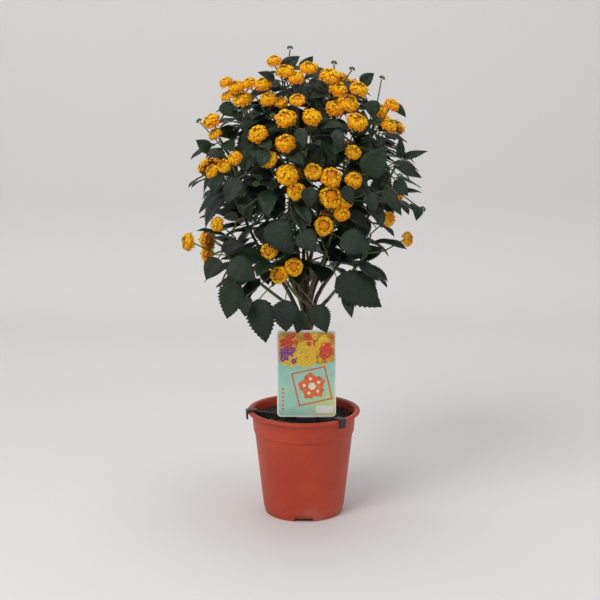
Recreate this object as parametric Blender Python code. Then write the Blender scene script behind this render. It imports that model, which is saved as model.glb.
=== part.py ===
"""A potted lantana in bloom: nursery pot, peat, label on its holder, woody stem, leafy shoots and flower heads.

The origin is the centre of the pot's foot, +Z is up and the front of the plant faces -Y.
"""

import math
import random

import bmesh
import bpy
from mathutils import Vector
from mathutils.bvhtree import BVHTree

# Driving dimensions, in metres.
MM = 0.001
GAP = 0.0003
POT_HEIGHT = 0.160
RIM_RADIUS = 0.085
LIP_RADIUS = 0.078
COLLAR_DROP = 0.034
BAND_RADIUS = 0.0755
FOOT_RADIUS = 0.0615
WALL = 0.0022
FLOOR = 0.003
NOTCH_WIDTH = 0.026
NOTCH_HEIGHT = 0.008
NOTCHES = 4
SOIL_TOP = 0.148
SOIL_HOLE = 0.0068
LABEL_WIDTH = 0.087
LABEL_HEIGHT = 0.132
LABEL_THICK = 0.0008
LABEL_CORNER = 0.006
LABEL_X = 0.004
LABEL_Y = -0.048
LABEL_BOTTOM = 0.1608
BAR_LEFT = (-0.0722, -0.0121)
BAR_RIGHT = (0.0482, -0.0551)
BAR_THICK = 0.0026
BAR_TALL = 0.0078
SOCKET_TALL = 0.0084
TAB = 0.0060
TRUNK_RADIUS = 0.0062

# Where the front of the plant is looked at from, in millimetres: this turns a place in the
# front view (across, down) and a depth behind the pot's axis into a point in space.
EYE_BACK = 2402.7
EYE_UP = 847.0
EYE_SIDE = -5.74
DIP = math.radians(12.2)
REACH = 1650.0

SEED = 7
HEAD_LOBES = 7
CROWN_FRONT = 150.0
CROWN_MID = 470.0

# Leafy shoots: name, then the line of the green stem in millimetres, first point on its branch.
SHOOTS = {
    "shoot_left_low": [(-30, -30, 332), (-75, -60, 375), (-118, -80, 420)],
    "shoot_left": [(-42, -8, 372), (-85, -20, 450), (-114, -34, 548)],
    "shoot_left_top": [(-28, 4, 402), (-60, -10, 510), (-84, -22, 618)],
    "shoot_top_left": [(-10, -12, 412), (-24, -25, 540), (-30, -34, 648)],
    "shoot_front": [(-12, -32, 380), (-22, -70, 450), (-16, -98, 522)],
    "shoot_top_right": [(14, 4, 412), (34, 0, 540), (48, -14, 646)],
    "shoot_front_right": [(20, -32, 376), (40, -66, 440), (50, -94, 516)],
    "shoot_right_top": [(36, 6, 396), (76, 0, 500), (104, -16, 606)],
    "shoot_right": [(44, -6, 372), (88, -14, 445), (138, -20, 540)],
    "shoot_right_low": [(36, -32, 336), (60, -60, 372), (90, -76, 410)],
    "shoot_front_low": [(-4, -38, 336), (-20, -72, 362), (-36, -100, 396)],
    "shoot_back_left": [(-26, 26, 370), (-60, 65, 450), (-86, 92, 548)],
    "shoot_back_top": [(0, 26, 402), (2, 60, 520), (6, 74, 630)],
    "shoot_back_right": [(28, 26, 370), (62, 60, 450), (88, 92, 540)],
    "shoot_back_low": [(2, 30, 334), (6, 72, 372), (0, 108, 420)],
}
# Height on the trunk at which each branch leaves, lowest first.
FORKS = (262.0, 282.0, 300.0, 316.0)
TRUNK = [(0, 0, 119), (0, 0, 158), (0, 1, 205), (3, 2, 262), (2, 1, 300), (4, 3, 330)]

# Flower heads of the front, one list a touching group: across, down, radius in the front view.
FRONT_HEADS = [
    [(285, 71, 9), (274, 61, 7.5), (296, 78, 8.5), (309, 68, 9)],
    [(236, 87, 8.5), (226, 82, 7), (242, 99, 9.5), (227, 96, 6.5)],
    [(263, 84, 8.5), (249, 83, 7.5), (268, 99, 8.5), (281, 102, 7)],
    [(297, 100, 8)],
    [(338, 89, 9), (330, 76, 10.5), (348, 103, 10.5), (335, 108, 9.5), (359, 89, 9.5)],
    [(357, 122, 10.5)],
    [(380, 110, 8), (392, 105, 8)],
    [(389, 125, 8.5)],
    [(286, 118, 10.5)],
    [(312, 117, 9.5)],
    [(258, 134, 9.5)],
    [(285, 143, 10)],
    [(211, 121, 9.5), (215, 134, 7)],
    [(224, 166, 7.5), (235, 158, 7.5), (212, 171, 7)],
    [(268, 159, 9)],
    [(353, 152, 8)],
    [(287, 175, 11), (296, 191, 9)],
    [(313, 171, 8.5)],
    [(331, 197, 11.5), (331, 177, 10.5), (346, 200, 8), (342, 213, 8)],
    [(354, 180, 8.5)],
    [(324, 226, 9.5)],
    [(188, 242, 9)],
    [(217, 224, 7.5)],
    [(269, 251, 8)],
    [(279, 275, 9), (294, 267, 9)],
    [(389, 219, 7.5)],
    [(408, 239, 7.5)],
]
# Small green heads of buds: across, down.
FRONT_BUDS = [
    (290, 48), (334, 63), (352, 69), (382, 78), (273, 116), (304, 154), (347, 161), (256, 184),
    (243, 194), (199, 121), (384, 201), (423, 209), (400, 176), (256, 268),
]
# Leaves that give the front its outline: across and down at the foot of the blade, then at its
# tip, width in the front view and depth forward of the crown's own.
FRONT_LEAVES = [
    (336, 278, 382, 307, 32, 0), (360, 262, 379, 281, 12, 0), (315, 305, 327, 333, 21, 0),
    (303, 311, 297, 334, 16, 6), (258, 299, 266, 343, 28, 0), (235, 282, 227, 319, 26, 0),
    (218, 258, 206, 280, 19, 0), (229, 262, 256, 280, 27, 10), (221, 249, 246, 243, 13, 0),
    (238, 216, 223, 218, 10, 0), (239, 212, 246, 205, 10, 0), (222, 175, 211, 196, 11, 0),
    (402, 158, 428, 151, 8, 0), (400, 158, 400, 137, 9, 0), (398, 166, 422, 178, 11, 0),
    (395, 180, 408, 196, 13, 0), (384, 190, 402, 216, 13, 0), (370, 192, 374, 213, 16, 0),
    (366, 175, 386, 147, 26, 0), (336, 130, 341, 149, 13, 14), (300, 128, 304, 148, 13, 14),
    (270, 222, 293, 254, 30, 0), (340, 238, 372, 250, 26, 0), (345, 186, 352, 205, 14, 10),
    (310, 187, 309, 208, 16, 10), (238, 178, 226, 204, 20, 0), (222, 103, 233, 117, 14, 0),
    (264, 150, 262, 167, 15, 8), (394, 104, 406, 117, 9, 0), (372, 100, 373, 118, 15, 16),
    (361, 84, 374, 73, 13, -12), (302, 72, 313, 56, 13, -14), (281, 70, 300, 56, 14, -14),
    (275, 79, 258, 72, 9, 0), (285, 300, 286, 332, 26, 20), (345, 292, 352, 318, 12, 20),
    (246, 296, 245, 317, 14, 16), (210, 150, 196, 140, 13, 0), (300, 232, 316, 252, 22, 12),
]


def seen(across, down, depth):
    """The point, in millimetres, that stands at this place in the front view and this depth."""
    run = depth + EYE_BACK
    rise = (300.0 - down) / REACH
    drop = (rise * run * math.cos(DIP) - run * math.sin(DIP)) / (-math.cos(DIP) - rise * math.sin(DIP))
    away = run * math.cos(DIP) + drop * math.sin(DIP)
    return Vector((EYE_SIDE + (across - 300.0) * away / REACH, depth, EYE_UP - drop))


def crown_depth(across, down):
    """How far in front of the axis the crown's face stands at this place."""
    p = seen(across, down, -60.0)
    fill = 1.0 - (p.x / 192.0) ** 2 - ((p.z - CROWN_MID) / 242.0) ** 2
    return -CROWN_FRONT * math.sqrt(max(0.05, fill))


def facing(p):
    """The way a head at this point looks: out from the crown and a little up."""
    out = Vector((p.x / 190.0, p.y / 150.0, (p.z - CROWN_MID) / 240.0))
    if out.length < 0.2:
        out = Vector((0.0, -1.0, 0.3))
    return (out.normalized() + Vector((0.0, 0.0, 0.38))).normalized()


def frame_on(axis):
    """Two directions square to an axis."""
    axis = axis.normalized()
    spare = Vector((0.0, 0.0, 1.0)) if abs(axis.z) < 0.9 else Vector((1.0, 0.0, 0.0))
    side = axis.cross(spare).normalized()
    return side, axis.cross(side).normalized()


class Solid:
    """Points in millimetres and the faces between them."""

    def __init__(self, points, faces):
        self.points = points
        self.faces = faces

    def tree(self):
        return BVHTree.FromPolygons(self.points, self.faces)


def tube(line, radii, sides):
    """A closed tube along a line of points."""
    points, faces = [], []
    side = None
    for i, p in enumerate(line):
        ahead = line[min(i + 1, len(line) - 1)] - line[max(i - 1, 0)]
        if side is None:
            side, _ = frame_on(ahead)
        axis = ahead.normalized()
        side = (side - axis * side.dot(axis)).normalized()
        up = axis.cross(side)
        for k in range(sides):
            a = 2.0 * math.pi * k / sides
            points.append(p + (side * math.cos(a) + up * math.sin(a)) * radii[i])
    for i in range(len(line) - 1):
        for k in range(sides):
            a, b = i * sides + k, i * sides + (k + 1) % sides
            faces.append((a, b, b + sides, a + sides))
    faces.append(tuple(range(sides - 1, -1, -1)))
    faces.append(tuple(range((len(line) - 1) * sides, len(line) * sides)))
    return Solid(points, faces)


class Leaf:
    """A toothed blade on a short stalk: where it is rooted, its foot, its tip, width and set."""

    def __init__(self, root, foot, tip, width, lift, arch):
        self.root = root
        self.foot = foot
        self.long = tip - foot
        self.length = self.long.length
        self.ahead = self.long.normalized()
        self.side = self.ahead.cross(lift).normalized()
        self.up = self.side.cross(self.ahead).normalized()
        self.width = width
        self.arch = arch

    def at(self, u, v, off=0.0):
        """The point at u of the length and v of the half width, off millimetres above the blade."""
        bow = self.arch * self.length * (math.sin(math.pi * min(max(u, 0.0), 1.0)) - 0.25 * u * u)
        lift = 0.20 * abs(v) * self.width * 0.5 + bow + off
        return self.foot + self.long * u + self.side * (v * self.width * 0.5) + self.up * lift


BLADE_EDGE = [(0.12, 0.70), (0.34, 1.0), (0.42, 0.82), (0.70, 0.52)]
BLADE_RIB = 0.42
BLADE_HALF = 0.85


def leaf_solid(leaf, grow=1.0):
    """The blade as a thin lens with a toothed edge."""
    half = BLADE_HALF * grow
    points = [leaf.at(-0.02, 0.0), leaf.at(1.0, 0.0)]
    points += [leaf.at(BLADE_RIB, 0.0, half), leaf.at(BLADE_RIB, 0.0, -half)]
    n = len(BLADE_EDGE)
    faces = []
    for s, sign in ((0, 1.0), (1, -1.0)):
        edge = [0] + [4 + s * n + i for i in range(n)] + [1]
        points += [leaf.at(u, sign * v) for u, v in BLADE_EDGE]
        for f in (0, 1):
            fan = [(a, b, 2 + f) for a, b in zip(edge, edge[1:])]
            faces += [t if s == f else t[::-1] for t in fan]
    return Solid(points, faces)


def stalk_solid(leaf, grow=1.0):
    """The leaf's stalk, from inside its stem into the foot of the blade."""
    inside = leaf.at(0.14, 0.0)
    return tube([leaf.root, leaf.foot, inside], [1.15 * grow, 1.05 * grow, 0.8], 3)


class Head:
    """A head of florets: centre, way it looks and radius, in millimetres."""

    def __init__(self, centre, look, radius):
        self.centre = centre
        self.look = look
        self.radius = radius
        self.heel = centre - look * radius * 0.60


def head_solid(head, turn, grow=1.0):
    """A dome of florets over a cone of their tubes, the outer lips scalloped."""
    side, up = frame_on(head.look)
    r = head.radius * grow
    rings = [
        (HEAD_LOBES, 0.52, 0.52, 0.00, 0.10),
        (HEAD_LOBES * 2, 0.94, 0.16, 0.09, 0.08),
        (HEAD_LOBES, 0.50, -0.22, 0.00, 0.00),
    ]
    points = [head.centre + head.look * r * 0.56]
    starts = []
    for count, reach, rise, scallop, bump in rings:
        starts.append(len(points))
        for k in range(count):
            a = turn + 2.0 * math.pi * k / count
            sign = 1.0 if k % 2 == 0 else -1.0
            out = r * (reach + scallop * sign)
            high = r * (rise + bump * sign * 0.5)
            points.append(head.centre + (side * math.cos(a) + up * math.sin(a)) * out + head.look * high)
    heel = len(points)
    points.append(head.centre - head.look * r * 0.60)
    faces = []
    n = HEAD_LOBES
    a0, b0, c0 = starts
    for k in range(n):
        j = (k + 1) % n
        m, before = 2 * k, (2 * k - 1) % (2 * n)
        after = (2 * k + 1) % (2 * n)
        faces.append((0, a0 + k, a0 + j))
        faces.append((a0 + k, b0 + before, b0 + m))
        faces.append((a0 + k, b0 + m, b0 + after))
        faces.append((a0 + k, b0 + after, a0 + j))
        faces.append((c0 + k, b0 + m, b0 + before))
        faces.append((c0 + k, b0 + after, b0 + m))
        faces.append((c0 + k, c0 + j, b0 + after))
        faces.append((heel, c0 + j, c0 + k))
    return Solid(points, faces)


class Plant:
    """Everything that grows, kept clear of its neighbours as it is placed."""

    def __init__(self):
        self.draw = random.Random(SEED)
        self.solids = {}
        self.trees = []
        self.lines = {}
        self.groups = []
        self.leaves = []
        self.buds = []

    def clear(self, solid, owner, loose=(), among=False):
        """Whether a solid keeps clear of every node but its owner and the loose ones."""
        tree = solid.tree()
        mid = sum(solid.points, Vector()) / len(solid.points)
        size = max((p - mid).length for p in solid.points)
        for name, other, centre, reach in self.trees:
            if (name == owner and not among) or name in loose:
                continue
            if (centre - mid).length < size + reach and tree.overlap(other):
                return False
        return True

    def put(self, solid, owner, guard=None):
        """Keeps a solid as part of its owner."""
        self.solids.setdefault(owner, []).append(solid)
        self.block(guard or solid, owner)

    def block(self, solid, name):
        """Something that nothing may cross, made elsewhere."""
        mid = sum(solid.points, Vector()) / len(solid.points)
        size = max((p - mid).length for p in solid.points)
        self.trees.append((name, solid.tree(), mid, size))


def near(plant, point, much=0.25):
    """A point a hair away, so that no two roots coincide."""
    return point + Vector([plant.draw.uniform(-much, much) for _ in range(3)])


def smooth_line(line, steps):
    """Points along a line of three, rounded at the middle one."""
    a, b, c = (Vector(p) for p in line)
    out = []
    for i in range(steps + 1):
        t = i / steps
        out.append(a * (1 - t) ** 2 + (b * 2.0 - (a + c) * 0.5) * 2.0 * t * (1 - t) + c * t * t)
    return out


def grow_wood(plant):
    """The brown trunk and its branches, each ending where a green stem begins."""
    line = [Vector(p) for p in TRUNK]
    plant.put(tube(line, [6.2, 6.2, 6.0, 5.6, 5.0, 3.6], 8), "trunk")
    for i, (name, path) in enumerate(SHOOTS.items()):
        stem = smooth_line(path, 3)
        ahead = (stem[1] - stem[0]).normalized()
        high = FORKS[i % 4] if path[0][2] > 345 else FORKS[0] - 6.0 * (i % 3)
        start = Vector((2.0, 1.0, high))
        end = stem[0] - ahead * 0.3
        knee = end - ahead * (end - start).length * 0.4
        plant.put(tube([near(plant, start), knee, end], [3.6, 3.2, 2.8], 6), "trunk")


def grow_stems(plant):
    """The green stem of each shoot."""
    for name, path in SHOOTS.items():
        line = smooth_line(path, 3)
        plant.put(tube(line, [2.6, 2.3, 2.0, 1.7], 5), name)
        plant.lines[name] = [(line[i], line[i + 1], 2.4 - 0.2 * i) for i in range(3)]


def set_group(plant, spots):
    """Places one touching group of heads, moved back or forward until it is clear."""
    depth = crown_depth(spots[0][0], spots[0][1])
    for move in (0, -6, 6, -12, 12, -18, 18, -25, 25, -32, 32, 40, 50):
        heads = []
        for across, down, radius in spots:
            own = crown_depth(across, down)
            y = depth + max(-5.0, min(5.0, own - depth)) + move
            p = seen(across, down, y)
            heads.append(Head(p, facing(p), radius * 1.49))
        if all(plant.clear(head_solid(h, 0.3, 1.06), "heads") for h in heads):
            return heads
    return None


def back_groups():
    """Groups of heads over the sides and back of the crown, by rule."""
    groups = []
    count = 12
    for i in range(count):
        turn = math.radians(-78.0 + 156.0 * ((i * 0.618) % 1.0))
        z = 395.0 + 262.0 * (i + 0.5) / count
        level = (z - 480.0) / 205.0
        wide = math.sqrt(max(0.1, 1.0 - level * level))
        x = 158.0 * wide * math.sin(turn)
        y = 160.0 * wide * math.cos(turn) + 4.0
        groups.append(Vector((x, y, z)))
    return groups


def grow_heads(plant):
    """All the flower heads, front ones as seen and back ones by rule."""
    for spots in FRONT_HEADS:
        heads = set_group(plant, spots)
        if heads is None:
            print("no room for", spots)
            continue
        keep_group(plant, heads)
    for i, centre in enumerate(back_groups()):
        look = facing(centre)
        side, up = frame_on(look)
        turn = plant.draw.uniform(0.0, 6.28)
        heads = []
        for k in range(2 + (i % 3 == 0)):
            r = plant.draw.uniform(12.5, 15.5)
            a = turn + k * 2.1
            p = centre + (side * math.cos(a) + up * math.sin(a)) * r * 0.98 + look * plant.draw.uniform(-2, 2)
            heads.append(Head(p, (facing(p) + look).normalized(), r))
        if all(plant.clear(head_solid(h, 0.3, 1.06), "heads") for h in heads):
            keep_group(plant, heads)


def keep_group(plant, heads):
    name = "heads_%02d" % (len(plant.groups) + 1)
    plant.groups.append((name, heads))
    for i, head in enumerate(heads[1:]):
        near = min(heads[:i + 1], key=lambda other: (other.centre - head.centre).length)
        ends = [h.centre - h.look * h.radius * 0.08 for h in (near, head)]
        plant.put(tube(ends, [3.8, 3.8], 4), name)
    for i, head in enumerate(heads):
        turn = plant.draw.uniform(0.0, 0.7)
        plant.put(head_solid(head, turn), name, head_solid(head, turn, 1.03))


def nearest_on(plant, point, reach=400.0):
    """Places on the shoots' lines, nearest first, as distance, shoot, place and thickness."""
    found = []
    for name, parts in plant.lines.items():
        for a, b, thick in parts:
            for t in (0.15, 0.5, 0.9):
                p = a.lerp(b, t)
                d = (p - point).length
                if d < reach:
                    found.append((d, name, p, thick))
    found.sort(key=lambda item: item[0])
    return found


def join_to(plant, end, radius, sides, limit=14, toward=None, loose=()):
    """Runs a stalk from the nearest stem to a point; returns its shoot and line, or None."""
    tried = 0
    spare = None
    for d, name, p, thick in nearest_on(plant, end):
        if d < 4.0 or thick < radius * 0.9:
            continue
        if toward is not None and (end - p).normalized().dot(toward) < 0.1:
            continue
        tried += 1
        if tried > limit:
            break
        solid = tube([near(plant, p - (end - p).normalized()), end], [radius * 1.1, radius], sides)
        ahead = (end - p).normalized()
        test = tube([p, end - ahead * 0.9], [radius * 1.5, radius * 1.2], sides)
        inner = tube([p + ahead * min(5.0, d * 0.4), end - ahead], [radius * 1.2, radius * 1.1], 3)
        if plant.clear(test, name, loose):
            if plant.clear(inner, name, loose, True):
                plant.put(solid, name)
                return name, p, thick
            spare = spare or (solid, name, p, thick)
    if spare:
        plant.put(spare[0], spare[1])
        return spare[1:]
    return None


def grow_twigs(plant):
    """A twig to each group of heads and a stalk from it to the heel of each head."""
    plant.sockets = []
    for name, heads in plant.groups:
        look = sum((h.look for h in heads), Vector()).normalized()
        middle = sum((h.heel for h in heads), Vector()) / len(heads)
        done = False
        for back in (34.0, 26.0, 44.0, 18.0):
            knot = middle - look * back + Vector((0.0, 0.0, -back * 0.35))
            made = join_to(plant, knot, 1.6, 4)
            if made:
                done = True
                break
        if not done:
            print("no twig for", name)
            continue
        shoot, start, _ = made
        plant.lines[shoot].append((start, knot, 1.6))
        plant.sockets.append((shoot, start, knot, look))
        for head in heads:
            end = head.heel - head.look * 0.3
            root = near(plant, knot - (end - knot).normalized() * 1.1)
            stalk = tube([root, end], [1.15, 1.0], 3)
            test = tube([knot, end - (end - knot).normalized() * 0.9], [1.6, 1.3], 3)
            if plant.clear(test, shoot):
                plant.put(stalk, shoot)
                head.stalk = (shoot, knot, end)
                continue
            made = join_to(plant, end, 1.05, 3, 30, head.look) or join_to(plant, end, 1.0, 3, 150)
            if made:
                head.stalk = (made[0], made[1], end)
            else:
                head.stalk = None
                print("no stalk for a head of", name)


def set_leaf(plant, owner, leaf, apart):
    """Keeps a leaf where it is clear of other nodes, and where asked of its own node's leaves."""
    if not plant.clear(leaf_solid(leaf, 1.6), owner) or not plant.clear(stalk_solid(leaf, 1.4), owner):
        return False
    stalk = leaf.root.lerp(leaf.foot, min(0.6, 3.6 / max(1.0, (leaf.foot - leaf.root).length)))
    spots = [(0.05, 0.5), (0.05, -0.5), (0.4, 1), (0.4, -1), (1, 0)]
    blade = Solid([leaf.at(u, v) for u, v in spots] + [stalk],
                  [(0, 2, 4), (0, 4, 1), (1, 4, 3), (5, 0, 1)])
    if apart and not plant.clear(blade, owner, (), True):
        return False
    plant.put(stalk_solid(leaf), owner)
    plant.put(leaf_solid(leaf), owner)
    plant.leaves.append((owner, leaf))
    return True


def grow_front_leaves(plant):
    """The leaves that are seen one by one at the front."""
    for spot in FRONT_LEAVES:
        a0, d0, a1, d1, width, ahead = spot
        base = crown_depth(a0, d0)
        done = False
        for move in (0, 8, -8, 16, -16, 26, 38, 1, 12, -12, 50):
            y = base - ahead + move
            foot = seen(a0, d0, y)
            steep = plant.draw.uniform(-6.0, 6.0)
            tip = seen(a1, d1, y - 8.0 + steep)
            lift = Vector((0.25 * (foot.x / 180.0), -1.0, 0.45))
            for d, name, p, thick in nearest_on(plant, foot)[:10]:
                root = near(plant, p - (foot - p).normalized() * 0.9)
                if (foot - root).length < 3.0 or (foot - root).length > 95.0:
                    continue
                leaf = Leaf(root, foot, tip, width * 1.47, lift, plant.draw.uniform(0.03, 0.10))
                if set_leaf(plant, name, leaf, move not in (1, 12, -12, 50)):
                    done = True
                    break
            if done:
                break
        if not done:
            print("leaf left out", spot)


def leaf_about(plant, shoot, point, axis, turn, length, droop):
    """One leaf out of a stem: turned about it, reaching out and drooping."""
    side, up = frame_on(axis)
    out = side * math.cos(turn) + up * math.sin(turn)
    away = Vector((point.x, point.y, 0.0))
    away = away.normalized() if away.length > 1.0 else Vector((0.0, -1.0, 0.0))
    way = (out + axis * 0.35 + away * 0.55 + Vector((0.0, 0.0, -droop))).normalized()
    foot = point + (out + away * 0.4 + Vector((0, 0, 0.15))).normalized() * length * 0.20
    tip = foot + way * length
    lift = Vector((away.x * 0.5, away.y * 0.5, 1.0))
    if abs(way.dot(lift.normalized())) > 0.92:
        lift = away
    width = length * plant.draw.uniform(0.54, 0.66)
    return Leaf(near(plant, point - out * 0.9), foot, tip, width, lift, plant.draw.uniform(0.04, 0.12))


def grow_leaves(plant, most):
    """Pairs of leaves, by rule: under each group of heads, along the twigs and along the stems."""
    places = []
    for shoot, start, knot, look in plant.sockets:
        axis = (knot - start).normalized()
        places.append((shoot, knot - axis * 1.5, axis, 4, 62.0, 0.25))
        if (knot - start).length > 45.0:
            places.append((shoot, start.lerp(knot, 0.55), axis, 2, 58.0, 0.45))
    for shoot, path in SHOOTS.items():
        line = smooth_line(path, 3)
        for i, t in ((3, 0.96), (3, 0.2), (2, 0.4), (1, 0.5)):
            axis = (line[i] - line[i - 1]).normalized()
            places.append((shoot, line[i - 1].lerp(line[i], t), axis, 2, 66.0, 0.6))
    plant.draw.shuffle(places)
    for shoot, point, axis, count, size, droop in places:
        base = plant.draw.uniform(0.0, 6.28)
        for k in range(count):
            for attempt in range(7):
                if len(plant.leaves) >= most:
                    return
                turn = base + k * math.pi * (0.5 if count == 4 else 1.0) + plant.draw.uniform(-0.5, 0.5)
                length = size * plant.draw.uniform(0.72, 1.15) * (1.0 - 0.07 * attempt)
                leaf = leaf_about(plant, shoot, point, axis, turn, length, droop + 0.1 * attempt)
                if min(leaf.at(1, 0).z, leaf.at(0.6, 1).z) < 268.0:
                    continue
                if too_far(leaf):
                    continue
                if set_leaf(plant, shoot, leaf, True):
                    break


def too_far(leaf):
    """Whether a leaf of the rule would leave the crown's outline."""
    for u, v in ((1.0, 0.0), (0.4, 1.0), (0.4, -1.0)):
        p = leaf.at(u, v)
        if (p.x / 172.0) ** 2 + ((p.z - 476.0) / 206.0) ** 2 > 1.0 or abs(p.y) > 166.0:
            return True
    return False


def grow_buds(plant):
    """Green heads of buds on stalks, fused to their shoots."""
    for across, down in FRONT_BUDS:
        p = seen(across, down, crown_depth(across, down) + 6.0)
        look = (facing(p) + Vector((0.0, 0.0, 0.3))).normalized()
        head = Head(p, look, 5.4)
        bud = head_solid_small(head)
        for d, name, start, thick in nearest_on(plant, p)[:30]:
            stalk = tube([near(plant, start - look), head.heel + look * 1.2], [1.15, 1.0], 3)
            if plant.clear(bud, name) and plant.clear(stalk, name):
                plant.put(bud, name)
                plant.put(stalk, name)
                plant.buds.append((name, head, start))
                break


def head_solid_small(head):
    """A bud head: a knobbly button."""
    side, up = frame_on(head.look)
    r = head.radius
    points = [head.centre + head.look * r * 0.7]
    for k in range(6):
        a = 2.0 * math.pi * k / 6
        out = r * (1.0 if k % 2 == 0 else 0.86)
        points.append(head.centre + (side * math.cos(a) + up * math.sin(a)) * out + head.look * r * 0.15)
    points.append(head.heel)
    faces = []
    for k in range(6):
        j = (k + 1) % 6
        faces.append((0, 1 + k, 1 + j))
        faces.append((7, 1 + j, 1 + k))
    return Solid(points, faces)


def box_solid(low, high):
    points = [Vector((x, y, z)) for z in (low[2], high[2]) for y in (low[1], high[1]) for x in (low[0], high[0])]
    faces = [(0, 2, 3, 1), (4, 5, 7, 6), (0, 1, 5, 4), (2, 6, 7, 3), (0, 4, 6, 2), (1, 3, 7, 5)]
    return Solid(points, faces)


def grow_plant(most):
    plant = Plant()
    label = box_solid((-40.5, -49.5, 155.0), (48.5, -46.5, 294.0))
    plant.block(label, "label")
    plant.block(box_solid((-88.0, -88.0, 100.0), (88.0, 88.0, 164.0)), "pot")
    plant.trees[-1] = ("pot",) + plant.trees[-1][1:]
    grow_heads(plant)
    wood_and_stems(plant)
    grow_twigs(plant)
    grow_buds(plant)
    grow_front_leaves(plant)
    grow_leaves(plant, most)
    return plant


def wood_and_stems(plant):
    grow_wood(plant)
    grow_stems(plant)


def empty_scene():
    for obj in list(bpy.data.objects):
        bpy.data.objects.remove(obj, do_unlink=True)
    for mesh in list(bpy.data.meshes):
        bpy.data.meshes.remove(mesh)
    for coll in list(bpy.data.collections):
        bpy.data.collections.remove(coll)


def material(name, colour, roughness, metallic=0.0):
    mat = bpy.data.materials.new(name)
    mat.use_nodes = True
    shader = mat.node_tree.nodes["Principled BSDF"]
    shader.inputs["Base Color"].default_value = (*colour, 1.0)
    shader.inputs["Roughness"].default_value = roughness
    shader.inputs["Metallic"].default_value = metallic
    mat.diffuse_color = (*colour, 1.0)
    return mat


def mesh_object(name, points, faces, scale=MM):
    mesh = bpy.data.meshes.new(name)
    mesh.from_pydata([tuple(p * scale) for p in points], [], faces)
    mesh.update()
    obj = bpy.data.objects.new(name, mesh)
    bpy.context.scene.collection.objects.link(obj)
    return obj


def sound(obj):
    """Whether the mesh is one closed skin when points a hair apart are taken as one."""
    keys = [tuple(round(c * 4.0e6) for c in v.co) for v in obj.data.vertices]
    sides = {}
    for poly in obj.data.polygons:
        ring = [keys[i] for i in poly.vertices]
        for a, b in zip(ring, ring[1:] + ring[:1]):
            if a == b:
                return False
            sides.setdefault((a, b) if a < b else (b, a), []).append(poly.index)
    if any(len(pair) != 2 for pair in sides.values()):
        return False
    beside = {}
    for a, b in sides.values():
        beside.setdefault(a, []).append(b)
        beside.setdefault(b, []).append(a)
    seen_faces, ahead = {0}, [0]
    while ahead:
        for other in beside[ahead.pop()]:
            if other not in seen_faces:
                seen_faces.add(other)
                ahead.append(other)
    return len(seen_faces) == len(obj.data.polygons)


def crosses_itself(solid):
    """Whether two faces of a solid that share no point cut each other."""
    tree = solid.tree()
    for a, b in tree.overlap(tree):
        if a != b and not set(solid.faces[a]) & set(solid.faces[b]):
            print("a crossed piece of", len(solid.points))
            return True
    return False


def joined(name, solids):
    """One object fused from several solids; one that spoils the skin is nudged, or left out."""
    solids = [solids[0]] + [solid for solid in solids[1:] if not crosses_itself(solid)]
    obj = fused(name, solids)
    if sound(obj):
        return obj
    bpy.data.objects.remove(obj, do_unlink=True)
    draw = random.Random(len(solids))
    kept = [solids[0]]
    ahead = list(solids[1:])
    step = 8
    while ahead:
        group = ahead[:step]
        if whole(name, kept + group):
            kept += group
            ahead = ahead[step:]
            continue
        if step > 1:
            step = step // 2
            continue
        for much in (0.15, 0.3, 0.45):
            nudge = Vector([draw.uniform(-much, much) for _ in range(3)])
            moved = Solid([p + nudge for p in group[0].points], group[0].faces)
            if whole(name, kept + [moved]):
                kept.append(moved)
                break
        else:
            print(name, "leaves one piece out")
        ahead = ahead[1:]
        step = 8
    return fused(name, kept)


def whole(name, solids):
    """Whether these fuse into one clean skin."""
    trial = fused(name, solids)
    good = sound(trial)
    bpy.data.objects.remove(trial, do_unlink=True)
    return good


def fused(name, solids):
    base = mesh_object(name, solids[0].points, solids[0].faces)
    if len(solids) == 1:
        return base
    group = bpy.data.collections.new(name + "_repeats")
    bpy.context.scene.collection.children.link(group)
    for i, solid in enumerate(solids[1:]):
        other = mesh_object("%s_%03d" % (name, i), solid.points, solid.faces)
        bpy.context.scene.collection.objects.unlink(other)
        group.objects.link(other)
    fuse = base.modifiers.new("fuse", "BOOLEAN")
    fuse.operation = "UNION"
    fuse.operand_type = "COLLECTION"
    fuse.collection = group
    fuse.solver = "MANIFOLD"
    apply_modifiers(base)
    for other in list(group.objects):
        bpy.data.objects.remove(other, do_unlink=True)
    bpy.data.collections.remove(group)
    keep_largest(base)
    return base


def keep_largest(obj):
    """Drops loose scraps, so that one body is left."""
    shape = bmesh.new()
    shape.from_mesh(obj.data)
    left = set(shape.verts)
    bodies = []
    while left:
        start = left.pop()
        body, ahead = [start], [start]
        while ahead:
            for edge in ahead.pop().link_edges:
                for vert in edge.verts:
                    if vert in left:
                        left.discard(vert)
                        body.append(vert)
                        ahead.append(vert)
        bodies.append(body)
    bodies.sort(key=len)
    for body in bodies[:-1]:
        print(obj.name, "drops a scrap of", len(body))
        bmesh.ops.delete(shape, geom=body, context="VERTS")
    bmesh.ops.triangulate(shape, faces=shape.faces)
    shape.to_mesh(obj.data)
    shape.free()


def apply_modifiers(obj):
    bpy.context.view_layer.update()
    shape = obj.evaluated_get(bpy.context.evaluated_depsgraph_get())
    mesh = bpy.data.meshes.new_from_object(shape)
    old = obj.data
    obj.modifiers.clear()
    obj.data = mesh
    bpy.data.meshes.remove(old)


def dress(obj, mat, smooth=False):
    obj.data.materials.clear()
    obj.data.materials.append(mat)
    for poly in obj.data.polygons:
        poly.use_smooth = smooth


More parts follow.
